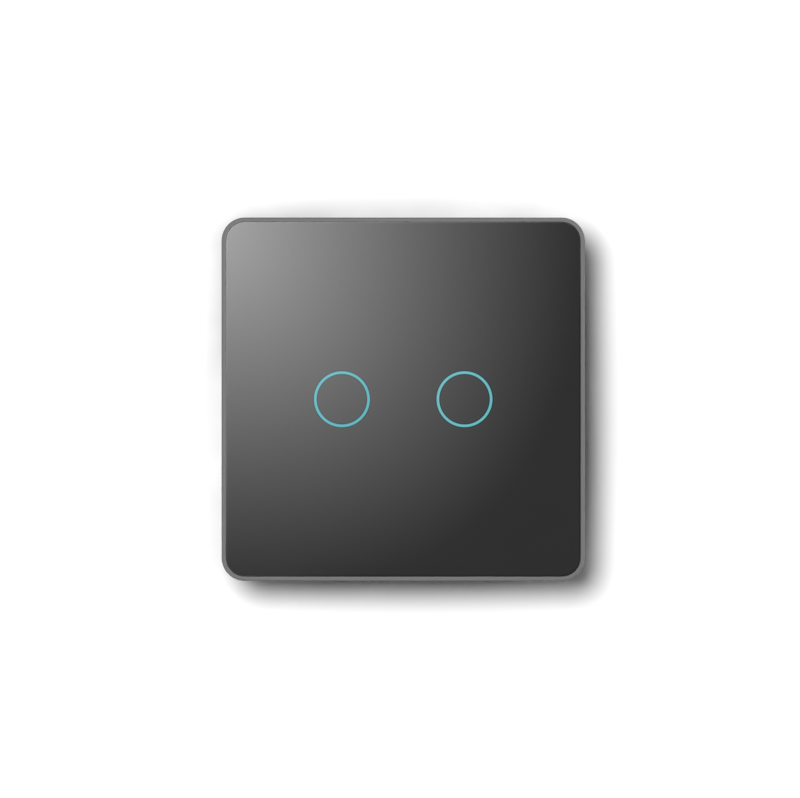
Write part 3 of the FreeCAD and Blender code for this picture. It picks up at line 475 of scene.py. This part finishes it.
def capacitorFinish(node):
    look = capLook
    low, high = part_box(node)
    middle = (low + high) / 2
    bare = (high.x - low.x) / 2 * look["topShare"]
    material, tree, shader, place = startMaterial(node.replace("_", " ") + " sleeve")
    x, y, z = axes(tree, place)
    dx = calc(tree, "SUBTRACT", x, middle.x)
    dz = calc(tree, "SUBTRACT", z, middle.z)
    onTop = calc(tree, "MULTIPLY", remap(tree, y, high.y - 0.08 * mm, high.y - 0.02 * mm),
                 softEdge(tree, fromAxis(tree, dx, dz), bare, 0.1 * mm))
    turn = calc(tree, "SUBTRACT", calc(tree, "ARCTAN2", dz, dx), look["stripeTurn"])
    stripe = softEdge(tree, calc(tree, "ABSOLUTE", turn), look["stripeHalf"], 0.05)
    stripe = calc(tree, "MULTIPLY", stripe, calc(tree, "SUBTRACT", 1.0, onTop))
    wrinkle = clouds(tree, stretched(tree, place, 1, 0.3, 1), 0.7, 3.0)
    score = calc(tree, "MINIMUM", calc(tree, "ABSOLUTE", dx), calc(tree, "ABSOLUTE", dz))
    groove = calc(tree, "MULTIPLY", softEdge(tree, score, look["groove"] * mm, 0.06 * mm), onTop)
    colour = mixed(tree, remap(tree, wrinkle, 0.4, 0.7), look["sleeve"], shaded(look["sleeve"], 0.75))
    colour = mixed(tree, stripe, colour, look["stripe"])
    colour = mixed(tree, onTop, colour, look["top"])
    # painted shade darkens the scored groove, which is also dented
    colour = mixed(tree, groove, colour, shaded(look["top"], 0.35))
    rough = remap(tree, wrinkle, 0.3, 0.7, 0.22, 0.36)
    height = calc(tree, "SUBTRACT", wrinkle, calc(tree, "MULTIPLY", groove, 2.0))
    feed(tree, shader, colour=colour, rough=rough, metal=calc(tree, "MULTIPLY", onTop, 0.9),
         normal=relief(tree, height, 0.03, 0.6, 0.3))
    return material


# Winding tape: overlapping turns round the coil, over the bobbin's black flange

windingLook = dict(tape=linear(214, 186, 66), edge=linear(160, 132, 40), flange=linear(34, 34, 35),
                   flangeTop=7.7, turn=1.9)


def windingFinish():
    look = windingLook
    material, tree, shader, place = startMaterial("winding tape")
    y = axes(tree, place)[1]
    lap = calc(tree, "FRACT", calc(tree, "MULTIPLY", y, 1 / (look["turn"] * mm)))
    seam = remap(tree, lap, 0.0, 0.09, 1.0, 0.0)
    weave = clouds(tree, stretched(tree, place, 1, 6, 1), 0.8, 3.0)
    onFlange = softEdge(tree, y, look["flangeTop"] * mm, 0.05 * mm)
    colour = mixed(tree, remap(tree, weave, 0.4, 0.7), look["tape"], shaded(look["tape"], 0.85))
    colour = mixed(tree, seam, colour, look["edge"])
    colour = mixed(tree, onFlange, colour, look["flange"])
    rough = remap(tree, weave, 0.3, 0.7, 0.26, 0.42)
    feed(tree, shader, colour=colour, rough=rough,
         normal=relief(tree, calc(tree, "SUBTRACT", weave, seam), 0.03, 0.6))
    return material


# Ring diffuser: milky, lit from its foot, brightest at the glass

ringLook = dict(body=linear(196, 226, 230), glow=linear(101, 195, 205), strength=0.55, footShare=0.35,
                foot=-4.9, front=-8.2)


def ringFinish():
    look = ringLook
    material, tree, shader, place = startMaterial("lit ring diffuser")
    y = axes(tree, place)[1]
    milk = clouds(tree, place, 1.1, 4.0)
    colour = mixed(tree, remap(tree, milk, 0.35, 0.65), look["body"], shaded(look["body"], 0.9))
    rise = remap(tree, y, look["foot"] * mm, look["front"] * mm, look["footShare"], 1.0)
    lit = calc(tree, "MULTIPLY", rise, look["strength"])
    glow = mixed(tree, lit, (0, 0, 0, 1), look["glow"])
    feed(tree, shader, colour=colour, rough=remap(tree, milk, 0.3, 0.7, 0.28, 0.4), glow=glow,
         glowStrength=1.0, normal=relief(tree, milk, 0.01, 0.5))
    keepUnsampled(material)
    return material


# Lamps: a white package with a small yellow window

lampLook = dict(body=linear(226, 226, 220), window=linear(226, 208, 96), radius=0.36,
                keyX=14.5, offset=4.4)  # offset: of each lamp's middle from its key's, both ways


def lampFinish():
    look = lampLook
    material, tree, shader, place = startMaterial("lamp package")
    grain = clouds(tree, place, 0.2, 3.0)
    x, _, z = axes(tree, place)
    fromKey = calc(tree, "SUBTRACT", calc(tree, "ABSOLUTE", x), look["keyX"] * mm)
    dx, dz = (
        calc(tree, "SUBTRACT", calc(tree, "ABSOLUTE", way), look["offset"] * mm) for way in (fromKey, z)
    )
    window = softEdge(tree, fromAxis(tree, dx, dz), look["radius"] * mm, 0.08 * mm)
    colour = mixed(tree, remap(tree, grain, 0.3, 0.7), look["body"], shaded(look["body"], 0.93))
    colour = mixed(tree, window, colour, look["window"])
    feed(tree, shader, colour=colour, rough=remap(tree, grain, 0.3, 0.7, 0.3, 0.42),
         normal=relief(tree, grain, 0.01, 0.5, 0.06))
    return material


# Back box: its moulding, with the round marks of the mould's ejector pins

ejectorLook = dict(pitch=21.0, inner=0.085, outer=0.1, shade=0.7, share=0.25)


def boxFinish():
    look = ejectorLook
    material = plainFinish("box moulding")
    tree = material.node_tree
    shader = next(n for n in tree.nodes if n.bl_idname == "ShaderNodeBsdfPrincipled")
    place = next(n for n in tree.nodes if n.bl_idname == "ShaderNodeTexCoord").outputs["Object"]
    plain = shader.inputs["Base Color"].links[0].from_socket
    pins = cells(tree, stretched(tree, place, 1, 0, 1), look["pitch"], spread=0.0).outputs["Distance"]
    ring = calc(tree, "MULTIPLY", between(tree, pins, look["inner"], look["outer"], 0.01), look["share"])
    colour = mixed(tree, ring, plain, shaded(finishes["box moulding"]["colour"], look["shade"]))
    feed(tree, shader, colour=colour)
    return material


# Which finish each CAD node takes

made = {name: plainFinish(name) for name in finishes if name != "box moulding"}
made.update({name: metalFinish(name) for name in metals if name != "screw steel"})
made.update({name: boardFinish(name) for name in boards})
made["box moulding"] = boxFinish()
made["smoked glass"] = frontGlass()
made["satin frame"] = satinFrame()
made["winding tape"] = windingFinish()
made["lit ring"] = ringFinish()
made["lamp"] = lampFinish()
made.update({name: metalFinish("screw steel", threads[name]) for name in threads})
made["bulk"] = capacitorFinish("bulk_capacitor")
made["output"] = capacitorFinish("output_capacitor")

wearing = {
    "metal_frame": "satin frame", "glass_panel": "smoked glass", "printed_film": "black print",
    "adhesive_tape": "adhesive tape", "front_carrier": "black moulding",
    "light_ring_left": "lit ring", "light_ring_right": "lit ring",
    "pad_sleeve_left": "black moulding", "pad_sleeve_right": "black moulding",
    "sensor_pad_left": "sensor foam", "sensor_pad_right": "sensor foam",
    "lamps_left": "lamp", "lamps_right": "lamp", "touch_board": "touch board laminate",
    "radio_module": "shield can", "touch_chip": "chip package", "board_header": "connector moulding",
    "retaining_clips": "spring strip", "mounting_plate": "zinc plate", "back_box": "box moulding",
    "inner_cover": "inner cover", "box_screws": "box screw", "power_board": "power board laminate",
    "board_socket": "connector moulding", "transformer_core": "ferrite",
    "transformer_winding": "winding tape", "bulk_capacitor": "bulk", "output_capacitor": "output",
    "filter_capacitor": "film capacitor case", "line_choke": "choke case", "varistor": "varistor coat",
    "bridge_rectifier": "chip package", "terminal_housing": "terminal moulding",
    "terminal_contacts": "contact brass", "terminal_clamp_1": "clamp steel",
    "terminal_clamp_2": "clamp steel", "terminal_screw_1": "terminal screw",
    "terminal_screw_2": "terminal screw",
}
for name, piece in nodes.items():
    piece.data.materials.clear()
    piece.data.materials.append(made[wearing[name]])
print("finishes given:", len(made))


# Pieces made by node trees

def meshOf(name, build):
    work = bmesh.new()
    build(work)
    bmesh.ops.remove_doubles(work, verts=work.verts, dist=1e-7)
    bmesh.ops.recalc_face_normals(work, faces=work.faces)
    mesh = bpy.data.meshes.new(name)
    work.to_mesh(mesh)
    work.free()
    return mesh


def shapeObject(name, build):  # a source shape for a tree, never shown by itself
    return bpy.data.objects.new(name, meshOf(name, build))


def newTree(name, sockets):
    tree = bpy.data.node_groups.new(name, "GeometryNodeTree")
    tree.interface.new_socket("Geometry", in_out="OUTPUT", socket_type="NodeSocketGeometry")
    for label, kind in sockets.items():
        tree.interface.new_socket(label, in_out="INPUT", socket_type="NodeSocket" + kind)
    given = tree.nodes.new("NodeGroupInput").outputs
    return tree, {item.name: item for item in given if item.name}


def closeTree(tree, geometry, finish):
    whole = put(tree, "GeometryNodeRealizeInstances", {0: geometry}).outputs[0]
    dressed = put(tree, "GeometryNodeSetMaterial", {"Geometry": whole, "Material": finish}).outputs[0]
    put(tree, "NodeGroupOutput", {0: dressed})


def runTree(name, tree, values, body):
    holder = bpy.data.objects.new(name, bpy.data.meshes.new(name + " start"))
    scene.collection.objects.link(holder)
    modifier = holder.modifiers.new("make", "NODES")
    modifier.node_group = tree
    for item in tree.interface.items_tree:
        if item.item_type == "SOCKET" and item.in_out == "INPUT":
            modifier[item.identifier] = values[item.name]
    graph = bpy.context.evaluated_depsgraph_get()
    mesh = bpy.data.meshes.new_from_object(holder.evaluated_get(graph))
    holder.modifiers.remove(modifier)
    holder.data = mesh
    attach(holder, body)
    return holder


def rowTree():
    tree, given = newTree("shapes in a row", {
        "Shape": "Object", "Count": "Int", "Start": "Vector", "Step": "Vector",
        "Jitter": "Vector", "Seed": "Int", "Finish": "Material",
    })
    line = put(tree, "GeometryNodeMeshLine", {
        "Count": given["Count"], "Start Location": given["Start"], "Offset": given["Step"],
    }).outputs[0]
    less = put(tree, "ShaderNodeVectorMath", {0: given["Jitter"], 1: (-1, -1, -1)}, operation="MULTIPLY")
    shake = put(tree, "FunctionNodeRandomValue", data_type="FLOAT_VECTOR")
    tree.links.new(less.outputs[0], shake.inputs[0])
    tree.links.new(given["Jitter"], shake.inputs[1])
    tree.links.new(given["Seed"], shake.inputs["Seed"])
    moved = put(tree, "GeometryNodeSetPosition", {"Geometry": line, "Offset": shake.outputs[0]}).outputs[0]
    shape = put(tree, "GeometryNodeObjectInfo", {"Object": given["Shape"]}).outputs["Geometry"]
    copies = put(tree, "GeometryNodeInstanceOnPoints", {"Points": moved, "Instance": shape}).outputs[0]
    closeTree(tree, copies, given["Finish"])
    return tree


def gridTree():
    tree, given = newTree("shapes in a grid", {
        "Shape": "Object", "Wide": "Float", "High": "Float", "Columns": "Int", "Rows": "Int",
        "Middle": "Vector", "Finish": "Material",
    })
    sheet = put(tree, "GeometryNodeMeshGrid", {
        "Size X": given["Wide"], "Size Y": given["High"],
        "Vertices X": given["Columns"], "Vertices Y": given["Rows"],
    }).outputs[0]
    stood = put(tree, "GeometryNodeTransform", {
        "Geometry": sheet, "Translation": given["Middle"], "Rotation": (math.pi / 2, 0, 0),
    }).outputs[0]
    shape = put(tree, "GeometryNodeObjectInfo", {"Object": given["Shape"]}).outputs["Geometry"]
    copies = put(tree, "GeometryNodeInstanceOnPoints", {"Points": stood, "Instance": shape}).outputs[0]
    closeTree(tree, copies, given["Finish"])
    return tree


def brick(work, x0, x1, y0, y1, z0, z1, bevel=0.0):  # millimetres
    cube = bmesh.ops.create_cube(work, size=1.0)
    for vert in cube["verts"]:
        vert.co = Vector((
            (x0 if vert.co.x < 0 else x1) * mm,
            (y0 if vert.co.y < 0 else y1) * mm,
            (z0 if vert.co.z < 0 else z1) * mm,
        ))
    if bevel:
        edges = list({e for v in cube["verts"] for e in v.link_edges})
        bmesh.ops.bevel(work, geom=edges, offset=bevel * mm, segments=2, affect="EDGES")


def pill(work, halfLong, halfWide, height, draft, steps=7):  # a low rib with round ends, along Y
    rings = []
    for level, inset in ((0.0, 0.0), (height * 0.7, draft * 0.6), (height, draft)):
        ring = []
        for end in (1, -1):
            for i in range(steps):
                angle = math.pi * i / (steps - 1) - math.pi / 2
                out = halfWide - inset
                ring.append(work.verts.new((
                    level * mm,
                    (end * (halfLong - halfWide) + end * out * math.cos(angle)) * mm,
                    end * out * math.sin(angle) * mm,
                )))
        rings.append(ring)
    for low, high in zip(rings, rings[1:]):
        for i in range(len(low)):
            j = (i + 1) % len(low)
            work.faces.new((low[i], low[j], high[j], high[i]))
    work.faces.new(rings[0][::-1])
    work.faces.new(rings[-1])


def disc(work, radius, y0, y1, dome=0.0, steps=20):
    profile = [(radius, y0), (radius, y1)]
    if dome:
        profile += [(radius * math.cos(a), y1 + dome * math.sin(a)) for a in (0.4, 0.8, 1.2)]
    rings = [[work.verts.new((
        r * mm * math.cos(math.tau * i / steps), y * mm, r * mm * math.sin(math.tau * i / steps)
    )) for i in range(steps)] for r, y in profile]
    for low, high in zip(rings, rings[1:]):
        for i in range(steps):
            j = (i + 1) % steps
            work.faces.new((low[i], low[j], high[j], high[i]))
    work.faces.new(rings[0])
    work.faces.new(rings[-1])


inRow = rowTree()
inGrid = gridTree()

ribLook = dict(count=7, pitch=4.4, halfLong=6.5, halfWide=0.45, height=0.45, draft=0.12,
               sideX=25.0, middleY=12.5)


def addBoxRibs():
    look = ribLook
    for side, name in ((-1, "left"), (1, "right")):
        def ribShape(work):
            pill(work, look["halfLong"], look["halfWide"], look["height"], look["draft"])
            if side < 0:
                bmesh.ops.scale(work, vec=(-1, 1, 1), verts=work.verts)
        source = shapeObject("rib shape", ribShape)
        start = -(look["count"] - 1) / 2 * look["pitch"]
        runTree("box_ribs_" + name, inRow, {
            "Shape": source, "Count": look["count"],
            "Start": (side * look["sideX"] * mm, look["middleY"] * mm, start * mm),
            "Step": (0, 0, look["pitch"] * mm), "Jitter": (0, 0, 0), "Seed": 1,
            "Finish": made["box moulding"],
        }, "base")


smallParts = dict(
    length=1.6, width=0.8, height=0.5, cap=0.3, capOver=0.03, jitter=0.5,
    rows=[  # count, start x, start z, step x, step z, seed
        (7, -17.5, -22.0, 4.6, 0.0, 3), (5, 3.5, 17.5, 3.4, 0.0, 5), (5, 3.5, 4.0, 3.4, 0.0, 8),
        (4, -17.5, -5.5, 3.2, 0.0, 13), (6, -14.0, 26.0, 5.0, 0.0, 21),
    ],
)


def addSmallParts():
    look = smallParts
    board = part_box("touch_board")[1].y / mm
    half = look["length"] / 2
    shake = look["jitter"] * mm

    def bodyShape(work):
        brick(work, -half + look["cap"], half - look["cap"], 0, look["height"],
              -look["width"] / 2, look["width"] / 2, 0.05)

    def capShape(work):
        for side in (-1, 1):
            x0, x1 = sorted((side * half, side * (half - look["cap"])))
            brick(work, x0, x1, 0, look["height"] + look["capOver"], -look["width"] / 2 - 0.02,
                  look["width"] / 2 + 0.02, 0.04)

    body = shapeObject("small part body", bodyShape)
    cap = shapeObject("small part ends", capShape)
    for number, (count, x, z, stepX, stepZ, seed) in enumerate(look["rows"], 1):
        for label, source, finish, slot in (
            ("bodies", body, made["chip package"], "chip"), ("ends", cap, made["solder"], "shield_can"),
        ):
            runTree("small_parts_%d_%s" % (number, label), inRow, {
                "Shape": source, "Count": count, "Start": (x * mm, board * mm, z * mm),
                "Step": (stepX * mm, 0, stepZ * mm), "Jitter": (shake, 0, shake), "Seed": seed,
                "Finish": finish,
            }, "front_panel")


canHoles = dict(columns=6, rows=4, wide=10.0, high=6.6, radius=0.5, middleX=-11.0, middleZ=5.5)


def addCanHoles():
    look = canHoles
    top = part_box("radio_module")[1].y / mm
    # the vent holes are dark discs, painted shade standing in for the holes
    source = shapeObject("can hole", lambda work: disc(work, look["radius"], -0.02, 0.015))
    runTree("can_holes", inGrid, {
        "Shape": source, "Wide": look["wide"] * mm, "High": look["high"] * mm,
        "Columns": look["columns"], "Rows": look["rows"],
        "Middle": (look["middleX"] * mm, top * mm, look["middleZ"] * mm), "Finish": made["chip package"],
    }, "front_panel")


dimples = dict(radius=1.3, height=0.35, columns=3, rows=2, wide=20.0, high=63.6,
               boxLip=1.0)  # the back box laps over the plate's front by this much


def addDimples():
    look = dimples
    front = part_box("back_box")[0].y / mm + look["boxLip"]  # the plate's front face

    def dimpleShape(work):
        disc(work, look["radius"], 0.02, -0.04, -look["height"], 24)
    source = shapeObject("dimple", dimpleShape)
    runTree("plate_dimples", inGrid, {
        "Shape": source, "Wide": look["wide"] * mm, "High": look["high"] * mm,
        "Columns": look["columns"], "Rows": look["rows"], "Middle": (0, front * mm, 0),
        "Finish": made["zinc plate"],
    }, "base")


addBoxRibs()
addSmallParts()
addCanHoles()
addDimples()
print("repeated pieces made")


# Terminal letters, raised on the rear of the terminal block so that they read from behind

letterLook = dict(size=2.3, raised=0.14, z=-16.95, places={"L": -3.75, "N": 3.75})


def addLetters():
    look = letterLook
    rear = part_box("terminal_housing")[1].y
    for letter, x in look["places"].items():
        curve = bpy.data.curves.new("letter " + letter, "FONT")
        curve.body = letter
        curve.size = look["size"] * mm
        curve.extrude = look["raised"] * mm
        curve.align_x = "CENTER"
        curve.resolution_u = 4
        holder = bpy.data.objects.new("terminal_letter_" + letter, curve)
        scene.collection.objects.link(holder)
        graph = bpy.context.evaluated_depsgraph_get()
        mesh = bpy.data.meshes.new_from_object(holder.evaluated_get(graph))
        bpy.data.objects.remove(holder)
        # the letter's own X runs to -X and its Y runs up, so that it faces +Y
        mesh.transform(Matrix((
            (-1, 0, 0, x * mm), (0, 0, 1, rear), (0, 1, 0, look["z"] * mm), (0, 0, 0, 1),
        )))
        mesh.materials.clear()
        mesh.materials.append(made["box moulding"])
        piece = bpy.data.objects.new("terminal_letter_" + letter, mesh)
        scene.collection.objects.link(piece)
        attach(piece, "base")


addLetters()
print("letters raised")


# Stage: a pale sweep just behind the back box, seen through from behind, with a painted shadow near the
# face, and studio light

stageLook = dict(
    wallY=25.5, floorZ=-620.0, bend=240.0, bendSteps=12, reach=2600.0,
    colour=linear(255, 255, 255), bounce=0.06,  # bounce: the share of it that lights the object
    half=43.0, corner=5.5,  # the face's outline
    paintedShadowShades=(0.58, 0.95), paintedShadowFrom=2.5, paintedShadowTo=8.5,  # painted shadow, towards the key, close to the outline
    paintedShadeFrom=-60.0, paintedShadeTo=110.0,  # painted shade: it runs from the upper left out to where those shades end
    lift=0.005, wash=1.0, washFrom=50.0, washTo=190.0, floorLift=0.92,  # its glow: near, far out, floor
)


def addSweep():
    look = stageLook
    profile = [(look["wallY"], look["reach"])]
    centreY = look["wallY"] - look["bend"]
    centreZ = look["floorZ"] + look["bend"]
    for i in range(look["bendSteps"] + 1):
        angle = math.pi / 2 * i / look["bendSteps"]
        profile.append((centreY + look["bend"] * math.cos(angle), centreZ - look["bend"] * math.sin(angle)))
    profile.append((-look["reach"], look["floorZ"]))

    work = bmesh.new()
    left, right = (
        [work.verts.new((side * look["reach"] * mm, y * mm, z * mm)) for y, z in profile] for side in (-1, 1)
    )
    for i in range(len(profile) - 1):
        work.faces.new((left[i], left[i + 1], right[i + 1], right[i]))
    for face in work.faces:
        face.smooth = True
    work.normal_update()
    if work.faces[:][0].normal.y > 0:
        bmesh.ops.reverse_faces(work, faces=work.faces)
    mesh = bpy.data.meshes.new("sweep")
    work.to_mesh(mesh)
    work.free()
    sweep = bpy.data.objects.new("sweep", mesh)
    scene.collection.objects.link(sweep)
    sweep.visible_shadow = False  # lamps behind it still reach the object's rear
    sweep.visible_glossy = False  # metal at the rear mirrors the white world, not the shaded sweep

    material, tree, shader, place = startMaterial("pale sweep")
    x, _, z = axes(tree, place)
    # painted shadow: darker close to the face's outline towards the upper left, fading to plain towards the
    # lower right; further out a slight painted shade evens out the key's light
    paintedShadeSide = remap(tree, calc(tree, "SUBTRACT", x, z), look["paintedShadeFrom"] * mm, look["paintedShadeTo"] * mm)
    outward = roundedSquare(tree, x, z, look["half"] * mm, look["corner"] * mm)
    off = remap(tree, outward, look["paintedShadowFrom"] * mm, look["paintedShadowTo"] * mm)
    near = mixed(tree, off, *(shaded(look["colour"], shade) for shade in look["paintedShadowShades"]))
    colour = mixed(tree, paintedShadeSide, near, look["colour"])
    paper = clouds(tree, place, 40.0, 3.0)
    colour = mixed(tree, remap(tree, paper, 0.3, 0.7), colour, shaded(look["colour"], 0.995))
    path = put(tree, "ShaderNodeLightPath").outputs
    seen = calc(tree, "MAXIMUM", calc(tree, "MAXIMUM", path["Is Camera Ray"], path["Is Glossy Ray"]),
                path["Is Transmission Ray"])
    colour = mixed(tree, seen, shaded(look["colour"], look["bounce"]), colour)
    feed(tree, shader, colour=colour, rough=0.9, specular=0.0)
    wash = remap(tree, fromAxis(tree, x, z), look["washFrom"] * mm, look["washTo"] * mm,
                 look["lift"], look["wash"])
    level = axes(tree, put(tree, "ShaderNodeNewGeometry").outputs["Normal"])[2]
    lift = remap(tree, level, 0.0, 1.0, wash, look["floorLift"])
    lifted = put(tree, "ShaderNodeEmission", {"Strength": calc(tree, "MULTIPLY", seen, lift)}).outputs[0]
    both = put(tree, "ShaderNodeAddShader", {0: shader.outputs[0], 1: lifted}).outputs[0]
    clear = put(tree, "ShaderNodeBsdfTransparent").outputs[0]
    behind = put(tree, "ShaderNodeNewGeometry").outputs["Backfacing"]
    surface = put(tree, "ShaderNodeMixShader", {0: behind, 1: both, 2: clear}).outputs[0]
    tree.links.new(surface, outputOf(tree))
    keepUnsampled(material)
    mesh.materials.append(material)
    return sweep


# The card that the glass mirrors: light at its upper left, black from about two thirds on

cardLook = dict(
    y=-1200.0, half=330.0, startX=-51.4, startZ=46.6,  # where on the glass the light part starts
    bright=178.5 / 255, dark=48 / 255, reach=93.4, roundness=2.8,
    glassShare=0.04, floorLevel=0.0296,  # what glass mirrors straight on, and the level of the dark end
)


def addCard(cameraY, frontY):
    look = cardLook
    spread = 1 + (frontY - look["y"]) / (frontY - cameraY)

    def build(work):
        half = look["half"] * mm
        corners = ((-half, -half), (half, -half), (half, half), (-half, half))
        work.faces.new([work.verts.new((x, look["y"] * mm, z)) for x, z in corners])
    card = bpy.data.objects.new("gradient_card", meshOf("gradient card", build))
    scene.collection.objects.link(card)
    card.visible_camera = card.visible_diffuse = card.visible_shadow = False
    material, tree, shader, place = startMaterial("gradient card")
    tree.nodes.remove(shader)
    x, _, z = axes(tree, place)
    powers = []
    for along, start in ((x, look["startX"]), (z, look["startZ"])):
        part = calc(tree, "MULTIPLY_ADD", along, 1 / (spread * look["reach"] * mm), -start / look["reach"])
        powers.append(calc(tree, "POWER", calc(tree, "ABSOLUTE", part), look["roundness"]))
    away = calc(tree, "POWER", calc(tree, "ADD", *powers), 1 / look["roundness"])
    screen = remap(tree, away, 0.0, 1.0, look["bright"], look["dark"])
    # screen value to light, by the formula that the helper linear also has
    level = calc(tree, "POWER", calc(tree, "MULTIPLY", calc(tree, "ADD", screen, 0.055), 1 / 1.055), 2.4)
    above = calc(tree, "MAXIMUM", calc(tree, "SUBTRACT", level, look["floorLevel"]), 0.0)
    strength = calc(tree, "MULTIPLY", above, 1 / look["glassShare"])
    tree.links.new(put(tree, "ShaderNodeEmission", {"Strength": strength}).outputs[0], outputOf(tree))
    keepUnsampled(material)
    card.data.materials.append(material)


lampsLook = dict(
    # beside the camera, up and to the left; the sweep gets the wall level on top, to be white
    key=dict(place=(-62, -537, 59), size=134, level=0.67, wallLevel=0.48),
    fill=[  # place in millimetres, size, level at the object; they leave the sweep's shadow alone
        ((620, -330, 150), 420, 0.2), ((-620, -330, 150), 420, 0.2), ((0, -330, 620), 420, 0.2),
        ((0, -330, -560), 420, 0.16),
    ],
    ambient=0.04,
    bounce=0.01,
    sky=(0.4, 1.0),  # what metal and glass mirror from low down and from high up
    rim=[  # behind the sweep, for the rear
        ((720, 260, 160), 420, 0.55), ((-720, 260, 160), 420, 0.48), ((0, 320, 700), 420, 0.55),
        ((-260, 1050, 330), 620, 0.36), ((0, 300, -560), 420, 0.5),
    ],
)


def keepToFirstHit(light, share):  # what bounces off the object's back gets only this share
    light.use_nodes = True
    tree = light.node_tree
    tree.nodes.clear()
    depth = put(tree, "ShaderNodeLightPath").outputs["Ray Depth"]
    strength = remap(tree, depth, 1.0, 2.0, 1.0, share)
    glow = put(tree, "ShaderNodeEmission", {"Strength": strength}).outputs[0]
    put(tree, "ShaderNodeOutputLight", {"Surface": glow})


def addLamp(name, place, size, level, aim):  # level is the share of light that a white surface gets
    area = bpy.data.lights.new(name, "AREA")
    area.shape = "DISK"
    area.size = size * mm
    spot = Vector(place) * mm
    fall = Vector(aim) * mm - spot
    area.energy = level * math.pi ** 2 * fall.length_squared
    lamp = bpy.data.objects.new(name, area)
    lamp.location = spot
    lamp.rotation_mode = "QUATERNION"
    lamp.rotation_quaternion = fall.to_track_quat("-Z", "Y")
    lamp.visible_camera = False
    scene.collection.objects.link(lamp)
    return lamp


def reachOnly(lamp, piece, how):  # INCLUDE: this piece alone gets the lamp; EXCLUDE: all but this piece
    group = bpy.data.collections.new(lamp.name + " reach")
    group.objects.link(piece)
    group.collection_objects[0].light_linking.link_state = how
    lamp.light_linking.receiver_collection = group


def addLamps(sweep):
    key = lampsLook["key"]
    front = (0, cameraLook["frontY"], 0)
    addLamp("key", key["place"], key["size"], key["level"], front).visible_glossy = False
    wallKey = addLamp("wall key", key["place"], key["size"], key["wallLevel"], front)
    wallKey.visible_glossy = False
    reachOnly(wallKey, sweep, "INCLUDE")
    for number, (place, size, level) in enumerate(lampsLook["fill"], 1):
        lamp = addLamp("fill %d" % number, place, size, level, (0, 0, 0))
        lamp.visible_glossy = False
        reachOnly(lamp, sweep, "EXCLUDE")
    for number, (place, size, level) in enumerate(lampsLook["rim"], 1):
        lamp = addLamp("rim %d" % number, place, size, level, (0, 0, 0))
        keepToFirstHit(lamp.data, lampsLook["bounce"])
    world = bpy.data.worlds.new("studio")
    world.use_nodes = True
    scene.world = world
    tree = world.node_tree
    tree.nodes.clear()
    path = put(tree, "ShaderNodeLightPath").outputs
    seen = calc(tree, "MAXIMUM", path["Is Camera Ray"], path["Is Transmission Ray"])
    up = axes(tree, put(tree, "ShaderNodeTexCoord").outputs["Generated"])[2]
    sky = remap(tree, up, -0.5, 0.6, *lampsLook["sky"])
    direct = calc(tree, "MULTIPLY", path["Is Glossy Ray"], softEdge(tree, path["Diffuse Depth"], 0.5, 0.5))
    level = remap(tree, direct, 0.0, 1.0, lampsLook["ambient"], sky)
    level = remap(tree, seen, 0.0, 1.0, level, 1.0)
    air = put(tree, "ShaderNodeBackground", {"Color": (1, 1, 1, 1), "Strength": level}).outputs[0]
    put(tree, "ShaderNodeOutputWorld", {"Surface": air})


cameraLook = dict(lens=100.0, sensor=36.0, frameWidth=189.25, frontY=-11.0, aimX=-0.76, aimZ=0.05)


def addCamera():
    look = cameraLook
    data = bpy.data.cameras.new("front camera")
    data.lens = look["lens"]
    data.sensor_width = look["sensor"]
    data.clip_start = 0.01
    data.clip_end = 20.0
    data.dof.use_dof = False
    camera = bpy.data.objects.new("front camera", data)
    distance = look["frameWidth"] * look["lens"] / look["sensor"]
    cameraY = look["frontY"] - distance
    camera.location = Vector((look["aimX"], cameraY, look["aimZ"])) * mm
    camera.rotation_euler = (math.pi / 2, 0, 0)
    scene.collection.objects.link(camera)
    scene.camera = camera
    return cameraY


scene.view_settings.view_transform = "Standard"
sweep = addSweep()
addCard(addCamera(), cameraLook["frontY"])
addLamps(sweep)
print("stage, lamps and camera set")
